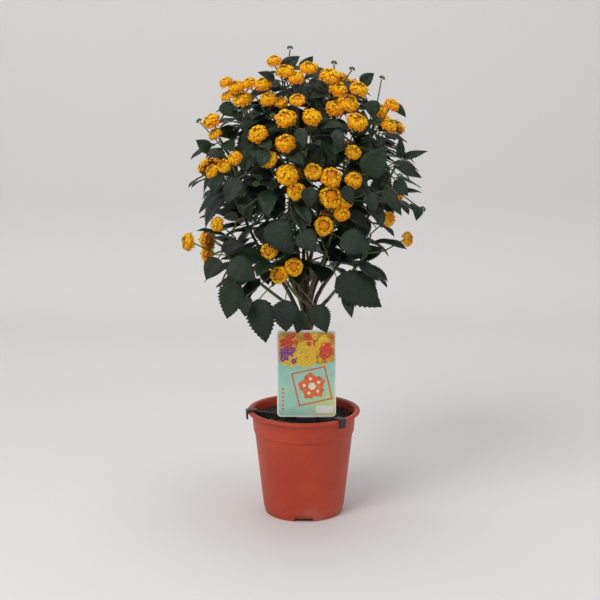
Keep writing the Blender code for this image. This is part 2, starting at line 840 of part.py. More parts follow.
def lathe(name, profile, sides):
    """A turned solid from (radius, height) in metres; a zero radius closes on the axis."""
    points, rings, faces = [], [], []
    for r, z in profile:
        if r == 0.0:
            rings.append([len(points)])
            points.append(Vector((0.0, 0.0, z)))
            continue
        rings.append(list(range(len(points), len(points) + sides)))
        for k in range(sides):
            a = 2.0 * math.pi * k / sides
            points.append(Vector((r * math.cos(a), r * math.sin(a), z)))
    closed = len(rings[0]) > 1
    last = len(rings) if closed else len(rings) - 1
    for i in range(last):
        one, two = rings[i], rings[(i + 1) % len(rings)]
        for k in range(sides):
            j = (k + 1) % sides
            if len(one) == 1:
                faces.append((one[0], two[j], two[k]))
            elif len(two) == 1:
                faces.append((one[k], one[j], two[0]))
            else:
                faces.append((one[k], one[j], two[j], two[k]))
    return mesh_object(name, points, faces, 1.0)


def cut(obj, tool):
    """Takes the tool's shape out of an object."""
    tool.hide_render = True
    tool.display_type = "WIRE"
    carve = obj.modifiers.new("cut", "BOOLEAN")
    carve.operation = "DIFFERENCE"
    carve.solver = "MANIFOLD"
    carve.object = tool
    apply_modifiers(obj)
    bpy.data.objects.remove(tool, do_unlink=True)


def block(name, size, centre, turn=0.0):
    """A box in metres, turned about the upright."""
    points = []
    for z in (-0.5, 0.5):
        for y in (-0.5, 0.5):
            for x in (-0.5, 0.5):
                px, py = x * size[0], y * size[1]
                points.append(Vector((
                    centre[0] + px * math.cos(turn) - py * math.sin(turn),
                    centre[1] + px * math.sin(turn) + py * math.cos(turn),
                    centre[2] + z * size[2],
                )))
    faces = [(0, 2, 3, 1), (4, 5, 7, 6), (0, 1, 5, 4), (2, 6, 7, 3), (0, 4, 6, 2), (1, 3, 7, 5)]
    return mesh_object(name, points, faces, 1.0)


def make_pot(mat):
    """A tapered pot with a rolled lip, a collar band and drain notches in its foot."""
    h = POT_HEIGHT
    profile = [
        (0.0, 0.0060),
        (FOOT_RADIUS - 0.010, 0.0060),
        (FOOT_RADIUS - 0.0085, 0.0),
        (FOOT_RADIUS - 0.0030, 0.0),
        (FOOT_RADIUS, 0.0130),
        (BAND_RADIUS - 0.0015, h - COLLAR_DROP),
        (BAND_RADIUS + 0.0003, h - COLLAR_DROP + 0.0008),
        (LIP_RADIUS, h - 0.0048),
        (RIM_RADIUS - 0.0006, h - 0.0048),
        (RIM_RADIUS, h - 0.0014),
        (RIM_RADIUS - 0.0020, h),
        (LIP_RADIUS - 0.0010, h - 0.0006),
        (LIP_RADIUS - WALL, h - 0.0060),
        (BAND_RADIUS - WALL - 0.0015, h - COLLAR_DROP - 0.0020),
        (FOOT_RADIUS - WALL, 0.0150),
        (FOOT_RADIUS - WALL - 0.0040, 0.0060 + FLOOR),
        (0.0, 0.0060 + FLOOR),
    ]
    pot = lathe("pot", profile, 36)
    for k in range(NOTCHES):
        a = math.radians(-90.0 + 360.0 * k / NOTCHES)
        centre = ((FOOT_RADIUS - 0.004) * math.cos(a), (FOOT_RADIUS - 0.004) * math.sin(a), 0.0)
        size = (0.016, NOTCH_WIDTH, NOTCH_HEIGHT)
        cut(pot, block("notch", size, centre, a))
    dress(pot, mat, True)
    return pot


def soil_radius(z):
    """The inside of the pot at this height, less the gap."""
    low = (FOOT_RADIUS - WALL, 0.0150)
    high = (BAND_RADIUS - WALL - 0.0015, POT_HEIGHT - COLLAR_DROP - 0.0020)
    if z <= high[1]:
        t = (z - low[1]) / (high[1] - low[1])
        return low[0] + (high[0] - low[0]) * t - GAP
    top = (LIP_RADIUS - WALL, POT_HEIGHT - 0.0060)
    t = (z - high[1]) / (top[1] - high[1])
    return high[0] + (top[0] - high[0]) * t - GAP


def make_soil(mat):
    """The peat that fills the pot, lumpy on top, with a plain hole for the trunk."""
    draw = random.Random(3)
    sides = 18
    rings = [(SOIL_HOLE, SOIL_TOP - 0.030), (SOIL_HOLE, SOIL_TOP + 0.002)]
    rings += [(0.024, SOIL_TOP + 0.001), (0.046, SOIL_TOP), (0.064, SOIL_TOP - 0.001)]
    rings += [(soil_radius(SOIL_TOP - 0.002), SOIL_TOP - 0.002)]
    rings += [(soil_radius(0.124) - 0.0002, 0.124), (soil_radius(0.0150) - 0.0002, 0.0150)]
    rings += [(FOOT_RADIUS - WALL - 0.0047, 0.0060 + FLOOR + GAP), (0.0, 0.0060 + FLOOR + GAP)]
    points, faces, starts = [], [], []
    points.append(Vector((0.0, 0.0, SOIL_TOP - 0.030)))
    for i, (r, z) in enumerate(rings[:-1]):
        starts.append(len(points))
        for k in range(sides):
            a = 2.0 * math.pi * k / sides
            lump = draw.uniform(-0.0016, 0.0016) if 2 <= i <= 4 else 0.0
            r_here = r / math.cos(math.pi / sides) if i < 2 else r
            points.append(Vector((r_here * math.cos(a), r_here * math.sin(a), z + lump)))
    points.append(Vector((0.0, 0.0, rings[-1][1])))
    last = len(points) - 1
    for k in range(sides):
        j = (k + 1) % sides
        faces.append((0, starts[0] + k, starts[0] + j))
        faces.append((starts[-1] + k, last, starts[-1] + j))
        for i in range(len(starts) - 1):
            a, b = starts[i], starts[i + 1]
            faces.append((a + k, b + k, b + j))
            faces.append((a + k, b + j, a + j))
    soil = mesh_object("soil", points, faces, 1.0)
    dress(soil, mat)
    return soil


def make_holder(mat):
    """The black bar that clips on the rim at both ends and carries the label's socket."""
    ax, ay = BAR_LEFT
    bx, by = BAR_RIGHT
    turn = math.atan2(by - ay, bx - ax)
    length = math.hypot(bx - ax, by - ay)
    mid = ((ax + bx) / 2, (ay + by) / 2)
    top = POT_HEIGHT - GAP
    bar = block("label_holder", (length, BAR_THICK, BAR_TALL), (mid[0], mid[1], top - BAR_TALL / 2), turn)
    pieces = []
    for x, y in (BAR_LEFT, BAR_RIGHT):
        a = math.atan2(y, x)
        inner = LIP_RADIUS - WALL - 0.0027
        outer = RIM_RADIUS + GAP + 0.0012
        wide = 0.011
        high = POT_HEIGHT + GAP
        across = (inner + outer) / 2
        long = outer - inner + 0.0024
        for size, reach, z in (
            ((long, wide, 0.0020), across, high + 0.0010),
            ((0.0024, wide, 0.0110), inner, high - 0.0045),
            ((0.0024, wide, 0.0130), outer, high - 0.0055),
        ):
            pieces.append(block("clip", size, (reach * math.cos(a), reach * math.sin(a), z), a))
    t = (LABEL_X - ax) / (bx - ax)
    bar_y = ay + (by - ay) * t
    low = min(bar_y, LABEL_Y) - 0.004
    back = max(bar_y, LABEL_Y) + 0.004
    middle = LABEL_BOTTOM - GAP - SOCKET_TALL / 2
    pieces.append(block("socket", (0.030, back - low, SOCKET_TALL), (LABEL_X, (low + back) / 2, middle)))
    for piece in pieces:
        join_one(bar, piece)
    slot_size = (0.0206, LABEL_THICK + 2 * GAP, 0.030)
    slot = block("slot", slot_size, (LABEL_X, LABEL_Y, LABEL_BOTTOM - TAB + 0.015 - GAP))
    cut(bar, slot)
    dress(bar, mat)
    return bar


def join_one(obj, other):
    fuse = obj.modifiers.new("fuse", "BOOLEAN")
    fuse.operation = "UNION"
    fuse.solver = "MANIFOLD"
    fuse.object = other
    apply_modifiers(obj)
    bpy.data.objects.remove(other, do_unlink=True)


def make_label(mat):
    """The card: rounded corners, a small hole at the top and a tab in the holder's socket."""
    w, h, r = LABEL_WIDTH / 2, LABEL_HEIGHT, LABEL_CORNER
    outline = [(0.0100, -TAB), (0.0100, 0.0)]
    for cx, cz, start in ((w - r, r, -90), (w - r, h - r, 0), (-w + r, h - r, 90), (-w + r, r, 180)):
        for k in range(4):
            a = math.radians(start + 30 * k)
            outline.append((cx + r * math.cos(a), cz + r * math.sin(a)))
    outline += [(-0.0100, 0.0), (-0.0100, -TAB)]
    n = len(outline)
    points = []
    for y in (-LABEL_THICK / 2, LABEL_THICK / 2):
        for x, z in outline:
            points.append(Vector((LABEL_X + x, LABEL_Y + y, LABEL_BOTTOM + z)))
    faces = [tuple(range(n)), tuple(range(2 * n - 1, n - 1, -1))]
    for k in range(n):
        j = (k + 1) % n
        faces.append((k, n + k, n + j, j))
    label = mesh_object("label", points, faces, 1.0)
    hole = hole_tool(0.0022, LABEL_X, LABEL_BOTTOM + h - 0.006)
    cut(label, hole)
    dress(label, mat)
    return label


def hole_tool(radius, x, z):
    points, faces = [], []
    sides = 10
    for y in (-0.01, 0.01):
        for k in range(sides):
            a = 2.0 * math.pi * k / sides
            points.append(Vector((x + radius * math.cos(a), LABEL_Y + y, z + radius * math.sin(a))))
    faces.append(tuple(range(sides)))
    faces.append(tuple(range(2 * sides - 1, sides - 1, -1)))
    for k in range(sides):
        j = (k + 1) % sides
        faces.append((k, sides + k, sides + j, j))
    return mesh_object("hole", points, faces, 1.0)


def main():
    empty_scene()
    clay = material("terracotta_plastic", (0.29, 0.037, 0.017), 0.45)
    peat = material("peat", (0.030, 0.016, 0.009), 0.95)
    black = material("holder_black", (0.010, 0.010, 0.011), 0.40)
    card = material("label_card", (0.30, 0.66, 0.50), 0.35)
    bark = material("bark", (0.115, 0.070, 0.038), 0.85)
    green = material("leaf_green", (0.060, 0.145, 0.030), 0.50)
    bloom = material("bloom_orange", (0.86, 0.20, 0.012), 0.60)
    make_pot(clay)
    make_soil(peat)
    make_holder(black)
    make_label(card)
    plant = grow_plant(118)
    total = 0
    for name, solids in plant.solids.items():
        obj = joined(name, solids)
        mat = bark if name == "trunk" else bloom if name.startswith("heads") else green
        dress(obj, mat)
        total += sum(len(p.vertices) - 2 for p in obj.data.polygons)
    for name in SHOOTS:
        print(name, sum(1 for owner, _ in plant.leaves if owner == name))
    print("leaves", len(plant.leaves), "groups", len(plant.groups), "buds", len(plant.buds), "triangles", total)


main()
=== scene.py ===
import math
import random

import bpy
import numpy as np
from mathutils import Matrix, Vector, noise
from mathutils.bvhtree import BVHTree


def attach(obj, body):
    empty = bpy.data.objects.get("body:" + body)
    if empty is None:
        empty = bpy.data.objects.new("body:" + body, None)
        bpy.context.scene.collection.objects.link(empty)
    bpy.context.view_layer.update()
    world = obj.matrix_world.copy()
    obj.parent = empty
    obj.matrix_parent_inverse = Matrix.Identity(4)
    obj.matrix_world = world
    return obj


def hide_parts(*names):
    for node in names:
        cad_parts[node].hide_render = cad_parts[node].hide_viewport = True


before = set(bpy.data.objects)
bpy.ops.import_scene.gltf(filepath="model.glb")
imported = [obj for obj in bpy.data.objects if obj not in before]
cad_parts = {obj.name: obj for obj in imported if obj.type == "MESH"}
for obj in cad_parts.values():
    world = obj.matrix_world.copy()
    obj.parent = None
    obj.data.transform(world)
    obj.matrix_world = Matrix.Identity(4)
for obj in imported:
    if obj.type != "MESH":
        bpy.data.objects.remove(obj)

MM = 0.001
# Steps between two points of a rod; grid, teeth and side veins of a leaf's blade.
ROD_STEPS = 3
BLADE_ROWS = 25
BLADE_COLUMNS = 7
TEETH = 12.0
VEINS = 8.0
VEIN_SLANT = 2.2
# Leaves that carry the outline, and the smaller ones that fill the crown inside it.
LEAVES = 118
FILL = 430
FLORETS = 50
GOLDEN_TURN = 2.399963
# Share of full strength that the lights run at.
GLOW = 0.67
# The card's face, and the middle and foot that its print is measured from.
CARD_FACE = -48.4
LABEL_MID = 4.0
LABEL_FOOT = 160.8
PEAT_TOP = 148.0
# Plain marks, for a skin whose material reads none.
PLAIN = (0, 0, 0)
POT_DARK = (0.420, 0.032, 0.007)
POT_LIGHT = (0.500, 0.047, 0.012)

# Where the front of the plant is looked at from, in millimetres: this turns a place in the
# front view (across, down) and a depth behind the pot's axis into a point in space.
EYE_BACK = 2402.7
EYE_UP = 847.0
EYE_SIDE = -5.74
DIP = math.radians(12.2)
REACH = 1650.0

SEED = 7
HEAD_LOBES = 7
CROWN_FRONT = 150.0
CROWN_MID = 470.0

# Leafy shoots: name, then the line of the green stem in millimetres, first point on its branch.
SHOOTS = {
    "shoot_left_low": [(-30, -30, 332), (-75, -60, 375), (-118, -80, 420)],
    "shoot_left": [(-42, -8, 372), (-85, -20, 450), (-114, -34, 548)],
    "shoot_left_top": [(-28, 4, 402), (-60, -10, 510), (-84, -22, 618)],
    "shoot_top_left": [(-10, -12, 412), (-24, -25, 540), (-30, -34, 648)],
    "shoot_front": [(-12, -32, 380), (-22, -70, 450), (-16, -98, 522)],
    "shoot_top_right": [(14, 4, 412), (34, 0, 540), (48, -14, 646)],
    "shoot_front_right": [(20, -32, 376), (40, -66, 440), (50, -94, 516)],
    "shoot_right_top": [(36, 6, 396), (76, 0, 500), (104, -16, 606)],
    "shoot_right": [(44, -6, 372), (88, -14, 445), (138, -20, 540)],
    "shoot_right_low": [(36, -32, 336), (60, -60, 372), (90, -76, 410)],
    "shoot_front_low": [(-4, -38, 336), (-20, -72, 362), (-36, -100, 396)],
    "shoot_back_left": [(-26, 26, 370), (-60, 65, 450), (-86, 92, 548)],
    "shoot_back_top": [(0, 26, 402), (2, 60, 520), (6, 74, 630)],
    "shoot_back_right": [(28, 26, 370), (62, 60, 450), (88, 92, 540)],
    "shoot_back_low": [(2, 30, 334), (6, 72, 372), (0, 108, 420)],
}
# Height on the trunk at which each branch leaves, lowest first.
FORKS = (262.0, 282.0, 300.0, 316.0)
TRUNK = [(0, 0, 119), (0, 0, 158), (0, 1, 205), (3, 2, 262), (2, 1, 300), (4, 3, 330)]

# Flower heads of the front, one list a touching group: across, down, radius in the front view.
FRONT_HEADS = [
    [(285, 71, 9), (274, 61, 7.5), (296, 78, 8.5), (309, 68, 9)],
    [(236, 87, 8.5), (226, 82, 7), (242, 99, 9.5), (227, 96, 6.5)],
    [(263, 84, 8.5), (249, 83, 7.5), (268, 99, 8.5), (281, 102, 7)],
    [(297, 100, 8)],
    [(338, 89, 9), (330, 76, 10.5), (348, 103, 10.5), (335, 108, 9.5), (359, 89, 9.5)],
    [(357, 122, 10.5)],
    [(380, 110, 8), (392, 105, 8)],
    [(389, 125, 8.5)],
    [(286, 118, 10.5)],
    [(312, 117, 9.5)],
    [(258, 134, 9.5)],
    [(285, 143, 10)],
    [(211, 121, 9.5), (215, 134, 7)],
    [(224, 166, 7.5), (235, 158, 7.5), (212, 171, 7)],
    [(268, 159, 9)],
    [(353, 152, 8)],
    [(287, 175, 11), (296, 191, 9)],
    [(313, 171, 8.5)],
    [(331, 197, 11.5), (331, 177, 10.5), (346, 200, 8), (342, 213, 8)],
    [(354, 180, 8.5)],
    [(324, 226, 9.5)],
    [(188, 242, 9)],
    [(217, 224, 7.5)],
    [(269, 251, 8)],
    [(279, 275, 9), (294, 267, 9)],
    [(389, 219, 7.5)],
    [(408, 239, 7.5)],
]
# Small green heads of buds: across, down.
FRONT_BUDS = [
    (290, 48), (334, 63), (352, 69), (382, 78), (273, 116), (304, 154), (347, 161), (256, 184),
    (243, 194), (199, 121), (384, 201), (423, 209), (400, 176), (256, 268),
]
# Leaves that give the front its outline: across and down at the foot of the blade, then at its
# tip, width in the front view and depth forward of the crown's own.
FRONT_LEAVES = [
    (336, 278, 382, 307, 32, 0), (360, 262, 379, 281, 12, 0), (315, 305, 327, 333, 21, 0),
    (303, 311, 297, 334, 16, 6), (258, 299, 266, 343, 28, 0), (235, 282, 227, 319, 26, 0),
    (218, 258, 206, 280, 19, 0), (229, 262, 256, 280, 27, 10), (221, 249, 246, 243, 13, 0),
    (238, 216, 223, 218, 10, 0), (239, 212, 246, 205, 10, 0), (222, 175, 211, 196, 11, 0),
    (402, 158, 428, 151, 8, 0), (400, 158, 400, 137, 9, 0), (398, 166, 422, 178, 11, 0),
    (395, 180, 408, 196, 13, 0), (384, 190, 402, 216, 13, 0), (370, 192, 374, 213, 16, 0),
    (366, 175, 386, 147, 26, 0), (336, 130, 341, 149, 13, 14), (300, 128, 304, 148, 13, 14),
    (270, 222, 293, 254, 30, 0), (340, 238, 372, 250, 26, 0), (345, 186, 352, 205, 14, 10),
    (310, 187, 309, 208, 16, 10), (238, 178, 226, 204, 20, 0), (222, 103, 233, 117, 14, 0),
    (264, 150, 262, 167, 15, 8), (394, 104, 406, 117, 9, 0), (372, 100, 373, 118, 15, 16),
    (361, 84, 374, 73, 13, -12), (302, 72, 313, 56, 13, -14), (281, 70, 300, 56, 14, -14),
    (275, 79, 258, 72, 9, 0), (285, 300, 286, 332, 26, 20), (345, 292, 352, 318, 12, 20),
    (246, 296, 245, 317, 14, 16), (210, 150, 196, 140, 13, 0), (300, 232, 316, 252, 22, 12),
]


def seen(across, down, depth):
    """The point, in millimetres, that stands at this place in the front view and this depth."""
    run = depth + EYE_BACK
    rise = (300.0 - down) / REACH
    drop = (rise * run * math.cos(DIP) - run * math.sin(DIP)) / (-math.cos(DIP) - rise * math.sin(DIP))
    away = run * math.cos(DIP) + drop * math.sin(DIP)
    return Vector((EYE_SIDE + (across - 300.0) * away / REACH, depth, EYE_UP - drop))


def crown_depth(across, down):
    """How far in front of the axis the crown's face stands at this place."""
    p = seen(across, down, -60.0)
    fill = 1.0 - (p.x / 192.0) ** 2 - ((p.z - CROWN_MID) / 242.0) ** 2
    return -CROWN_FRONT * math.sqrt(max(0.05, fill))


def facing(p):
    """The way a head at this point looks: out from the crown and a little up."""
    out = Vector((p.x / 190.0, p.y / 150.0, (p.z - CROWN_MID) / 240.0))
    if out.length < 0.2:
        out = Vector((0.0, -1.0, 0.3))
    return (out.normalized() + Vector((0.0, 0.0, 0.38))).normalized()


def frame_on(axis):
    """Two directions square to an axis."""
    axis = axis.normalized()
    spare = Vector((0.0, 0.0, 1.0)) if abs(axis.z) < 0.9 else Vector((1.0, 0.0, 0.0))
    side = axis.cross(spare).normalized()
    return side, axis.cross(side).normalized()


class Solid:
    """Points in millimetres and the faces between them."""

    def __init__(self, points, faces):
        self.points = points
        self.faces = faces

    def ball(self):
        """Its search tree, with the middle and reach of a ball around it."""
        mid = sum(self.points, Vector()) / len(self.points)
        reach = max((p - mid).length for p in self.points)
        return BVHTree.FromPolygons(self.points, self.faces), mid, reach


def tube(line, radii, sides):
    """A closed tube along a line of points."""
    points, faces = [], []
    side = None
    for i, p in enumerate(line):
        ahead = line[min(i + 1, len(line) - 1)] - line[max(i - 1, 0)]
        if side is None:
            side, _ = frame_on(ahead)
        axis = ahead.normalized()
        side = (side - axis * side.dot(axis)).normalized()
        up = axis.cross(side)
        for k in range(sides):
            a = 2.0 * math.pi * k / sides
            points.append(p + (side * math.cos(a) + up * math.sin(a)) * radii[i])
    for i in range(len(line) - 1):
        for k in range(sides):
            a, b = i * sides + k, i * sides + (k + 1) % sides
            faces.append((a, b, b + sides, a + sides))
    faces.append(tuple(range(sides - 1, -1, -1)))
    faces.append(tuple(range((len(line) - 1) * sides, len(line) * sides)))
    return Solid(points, faces)


class Leaf:
    """A toothed blade on a short stalk: where it is rooted, its foot, its tip, width and set."""

    def __init__(self, root, foot, tip, width, lift, arch):
        self.root = root
        self.foot = foot
        self.long = tip - foot
        self.length = self.long.length
        ahead = self.long.normalized()
        self.side = ahead.cross(lift).normalized()
        self.up = self.side.cross(ahead).normalized()
        self.width = width
        self.arch = arch

    def at(self, u, v, off=0.0):
        """The point at u of the length and v of the half width, off millimetres above the blade."""
        bow = self.arch * self.length * (math.sin(math.pi * min(max(u, 0.0), 1.0)) - 0.25 * u * u)
        lift = 0.20 * abs(v) * self.width * 0.5 + bow + off
        return self.foot + self.long * u + self.side * (v * self.width * 0.5) + self.up * lift


BLADE_EDGE = [(0.12, 0.70), (0.34, 1.0), (0.42, 0.82), (0.70, 0.52)]
BLADE_RIB = 0.42
BLADE_HALF = 0.85


def leaf_solid(leaf, grow=1.0):
    """The blade as a thin lens with a toothed edge."""
    half = BLADE_HALF * grow
    points = [leaf.at(-0.02, 0.0), leaf.at(1.0, 0.0)]
    points += [leaf.at(BLADE_RIB, 0.0, half), leaf.at(BLADE_RIB, 0.0, -half)]
    n = len(BLADE_EDGE)
    faces = []
    for s, sign in ((0, 1.0), (1, -1.0)):
        edge = [0] + [4 + s * n + i for i in range(n)] + [1]
        points += [leaf.at(u, sign * v) for u, v in BLADE_EDGE]
        for f in (0, 1):
            fan = [(a, b, 2 + f) for a, b in zip(edge, edge[1:])]
            faces += [t if s == f else t[::-1] for t in fan]
    return Solid(points, faces)


def stalk_solid(leaf, grow=1.0):
    """The leaf's stalk, from inside its stem into the foot of the blade."""
    inside = leaf.at(0.14, 0.0)
    return tube([leaf.root, leaf.foot, inside], [1.15 * grow, 1.05 * grow, 0.8], 3)


class Head:
    """A head of florets: centre, way it looks and radius, in millimetres."""

    def __init__(self, centre, look, radius):
        self.centre = centre
        self.look = look
        self.radius = radius
        self.heel = centre - look * radius * 0.60


def head_solid(head, turn, grow=1.0):
    """A dome of florets over a cone of their tubes, the outer lips scalloped."""
    side, up = frame_on(head.look)
    r = head.radius * grow
    rings = [
        (HEAD_LOBES, 0.52, 0.52, 0.00, 0.10),
        (HEAD_LOBES * 2, 0.94, 0.16, 0.09, 0.08),
        (HEAD_LOBES, 0.50, -0.22, 0.00, 0.00),
    ]
    points = [head.centre + head.look * r * 0.56]
    for count, reach, rise, scallop, bump in rings:
        for k in range(count):
            a = turn + 2.0 * math.pi * k / count
            sign = 1.0 if k % 2 == 0 else -1.0
            out = r * (reach + scallop * sign)
            high = r * (rise + bump * sign * 0.5)
            points.append(head.centre + (side * math.cos(a) + up * math.sin(a)) * out + head.look * high)
    heel = len(points)
    points.append(head.centre - head.look * r * 0.60)
    faces = []
    n = HEAD_LOBES
    for k in range(n):
        j = (k + 1) % n
        a, b, c, d = 1 + k, 1 + j, 1 + 3 * n + k, 1 + 3 * n + j
        mid, before, after = (1 + n + (2 * k + i) % (2 * n) for i in (0, -1, 1))
        faces += [(0, a, b), (a, before, mid), (a, mid, after), (a, after, b)]
        faces += [(c, mid, before), (c, after, mid), (c, d, after), (heel, d, c)]
    return Solid(points, faces)


class Plant:
    """Everything that grows, kept clear of its neighbours as it is placed."""

    def __init__(self):
        self.draw = random.Random(SEED)
        self.trees = []
        self.lines = {}
        self.groups = []
        self.sockets = []
        self.leaves = []
        self.buds = []
        self.branches = []
        self.stalks = []

    def clear(self, solid, owner, among=False):
        """Whether a solid keeps clear of every node but its owner, or of all of them."""
        tree, mid, size = solid.ball()
        for name, other, centre, reach in self.trees:
            if name == owner and not among:
                continue
            if (centre - mid).length < size + reach and tree.overlap(other):
                return False
        return True

    def put(self, solid, name):
        """Keeps a solid as one that other nodes may not cross."""
        self.trees.append((name, *solid.ball()))


def near(plant, point, much=0.25):
    """A point a hair away, so that no two roots coincide."""
    return point + Vector([plant.draw.uniform(-much, much) for _ in range(3)])


def smooth_line(line, steps):
    """Points along a line of three, rounded at the middle one."""
    a, b, c = (Vector(p) for p in line)
    out = []
    for i in range(steps + 1):
        t = i / steps
        out.append(a * (1 - t) ** 2 + (b * 2.0 - (a + c) * 0.5) * 2.0 * t * (1 - t) + c * t * t)
    return out


def grow_wood(plant):
    """The brown trunk and its branches, each ending where a green stem begins."""
    line = [Vector(p) for p in TRUNK]
    plant.put(tube(line, [6.2, 6.2, 6.0, 5.6, 5.0, 3.6], 8), "trunk")
    for i, path in enumerate(SHOOTS.values()):
        stem = smooth_line(path, 3)
        ahead = (stem[1] - stem[0]).normalized()
        high = FORKS[i % 4] if path[0][2] > 345 else FORKS[0] - 6.0 * (i % 3)
        start = Vector((2.0, 1.0, high))
        end = stem[0] - ahead * 0.3
        knee = end - ahead * (end - start).length * 0.4
        plant.branches.append((start, knee, end))
        plant.put(tube([near(plant, start), knee, end], [3.6, 3.2, 2.8], 6), "trunk")


def grow_stems(plant):
    """The green stem of each shoot."""
    for name, path in SHOOTS.items():
        line = smooth_line(path, 3)
        plant.put(tube(line, [2.6, 2.3, 2.0, 1.7], 5), name)
        plant.lines[name] = [(line[i], line[i + 1], 2.4 - 0.2 * i) for i in range(3)]


def set_group(plant, spots):
    """Places one touching group of heads, moved back or forward until it is clear."""
    depth = crown_depth(*spots[0][:2])
    for move in (0, -6, 6, -12, 12, -18, 18, -25, 25, -32, 32, 40, 50):
        heads = []
        for across, down, radius in spots:
            own = crown_depth(across, down)
            y = depth + max(-5.0, min(5.0, own - depth)) + move
            p = seen(across, down, y)
            heads.append(Head(p, facing(p), radius * 1.49))
        if all(plant.clear(head_solid(h, 0.3, 1.06), "heads") for h in heads):
            return heads
    return None


def back_groups(count=12):
    """Middles of groups of heads over the sides and back of the crown, by rule."""
    middles = []
    for i in range(count):
        turn = math.radians(-78.0 + 156.0 * ((i * 0.618) % 1.0))
        z = 395.0 + 262.0 * (i + 0.5) / count
        level = (z - 480.0) / 205.0
        wide = math.sqrt(max(0.1, 1.0 - level * level))
        middles.append(Vector((158.0 * wide * math.sin(turn), 160.0 * wide * math.cos(turn) + 4.0, z)))
    return middles


def grow_heads(plant):
    """All the flower heads, front ones as seen and back ones by rule."""
    for spots in FRONT_HEADS:
        heads = set_group(plant, spots)
        if heads:
            keep_group(plant, heads)
    for i, centre in enumerate(back_groups()):
        look = facing(centre)
        side, up = frame_on(look)
        turn = plant.draw.uniform(0.0, 6.28)
        heads = []
        for k in range(3 if i % 3 == 0 else 2):
            r = plant.draw.uniform(12.5, 15.5)
            a = turn + k * 2.1
            out = (side * math.cos(a) + up * math.sin(a)) * r * 0.98
            p = centre + out + look * plant.draw.uniform(-2, 2)
            heads.append(Head(p, (facing(p) + look).normalized(), r))
        if all(plant.clear(head_solid(h, 0.3, 1.06), "heads") for h in heads):
            keep_group(plant, heads)


def keep_group(plant, heads):
    """Keeps a group, each head bridged to its nearest neighbour."""
    name = "heads_%02d" % (len(plant.groups) + 1)
    plant.groups.append((name, heads))
    for i, head in enumerate(heads[1:]):
        near = min(heads[:i + 1], key=lambda other: (other.centre - head.centre).length)
        ends = [h.centre - h.look * h.radius * 0.08 for h in (near, head)]
        plant.put(tube(ends, [3.8, 3.8], 4), name)
    for head in heads:
        plant.put(head_solid(head, plant.draw.uniform(0.0, 0.7), 1.03), name)


def nearest_on(plant, point):
    """Places on the shoots' lines, nearest first, as distance, shoot, place and thickness."""
    found = []
    for name, parts in plant.lines.items():
        for a, b, thick in parts:
            for t in (0.15, 0.5, 0.9):
                p = a.lerp(b, t)
                d = (p - point).length
                if d < 400.0:
                    found.append((d, name, p, thick))
    found.sort(key=lambda item: item[0])
    return found


def join_to(plant, end, radius, sides, limit=14, toward=None):
    """Runs a stalk from the nearest stem to a point; returns its shoot, start and thickness."""
    tried = 0
    found = None
    for d, name, p, thick in nearest_on(plant, end):
        ahead = (end - p).normalized()
        if d < 4.0 or thick < radius * 0.9 or (toward and ahead.dot(toward) < 0.1):
            continue
        tried += 1
        if tried > limit:
            break
        solid = tube([near(plant, p - ahead), end], [radius * 1.1, radius], sides)
        test = tube([p, end - ahead * 0.9], [radius * 1.5, radius * 1.2], sides)
        inner = tube([p + ahead * min(5.0, d * 0.4), end - ahead], [radius * 1.2, radius * 1.1], 3)
        if plant.clear(test, name):
            free = plant.clear(inner, name, True)
            if free or not found:
                found = (solid, name, p, thick)
            if free:
                break
    if not found:
        return None
    solid, name, p, thick = found
    plant.put(solid, name)
    plant.stalks.append((name, p, end, radius))
    return name, p, thick


def grow_twigs(plant):
    """A twig to each group of heads and a stalk from it to the heel of each head."""
    for _, heads in plant.groups:
        look = sum((h.look for h in heads), Vector()).normalized()
        middle = sum((h.heel for h in heads), Vector()) / len(heads)
        for back in (34.0, 26.0, 44.0, 18.0):
            knot = middle - look * back + Vector((0.0, 0.0, -back * 0.35))
            made = join_to(plant, knot, 1.6, 4)
            if made:
                break
        else:
            continue
        shoot, start, _ = made
        plant.lines[shoot].append((start, knot, 1.6))
        plant.sockets.append((shoot, start, knot))
        for head in heads:
            end = head.heel - head.look * 0.3
            ahead = (end - knot).normalized()
            stalk = tube([near(plant, knot - ahead * 1.1), end], [1.15, 1.0], 3)
            if plant.clear(tube([knot, end - ahead * 0.9], [1.6, 1.3], 3), shoot):
                plant.put(stalk, shoot)
                plant.stalks.append((shoot, knot, end, 1.05))
            elif not join_to(plant, end, 1.05, 3, 30, head.look):
                join_to(plant, end, 1.0, 3, 150)


def set_leaf(plant, owner, leaf, apart):
    """Keeps a leaf where it is clear of other nodes, and where asked of its own node's leaves."""
    if not plant.clear(leaf_solid(leaf, 1.6), owner) or not plant.clear(stalk_solid(leaf, 1.4), owner):
        return False
    stalk = leaf.root.lerp(leaf.foot, min(0.6, 3.6 / max(1.0, (leaf.foot - leaf.root).length)))
    spots = [leaf.at(u, v) for u, v in ((0.05, 0.5), (0.05, -0.5), (0.4, 1), (0.4, -1), (1, 0))]
    blade = Solid(spots + [stalk], [(0, 2, 4), (0, 4, 1), (1, 4, 3), (5, 0, 1)])
    if apart and not plant.clear(blade, owner, True):
        return False
    plant.put(stalk_solid(leaf), owner)
    plant.put(leaf_solid(leaf), owner)
    plant.leaves.append((owner, leaf))
    return True


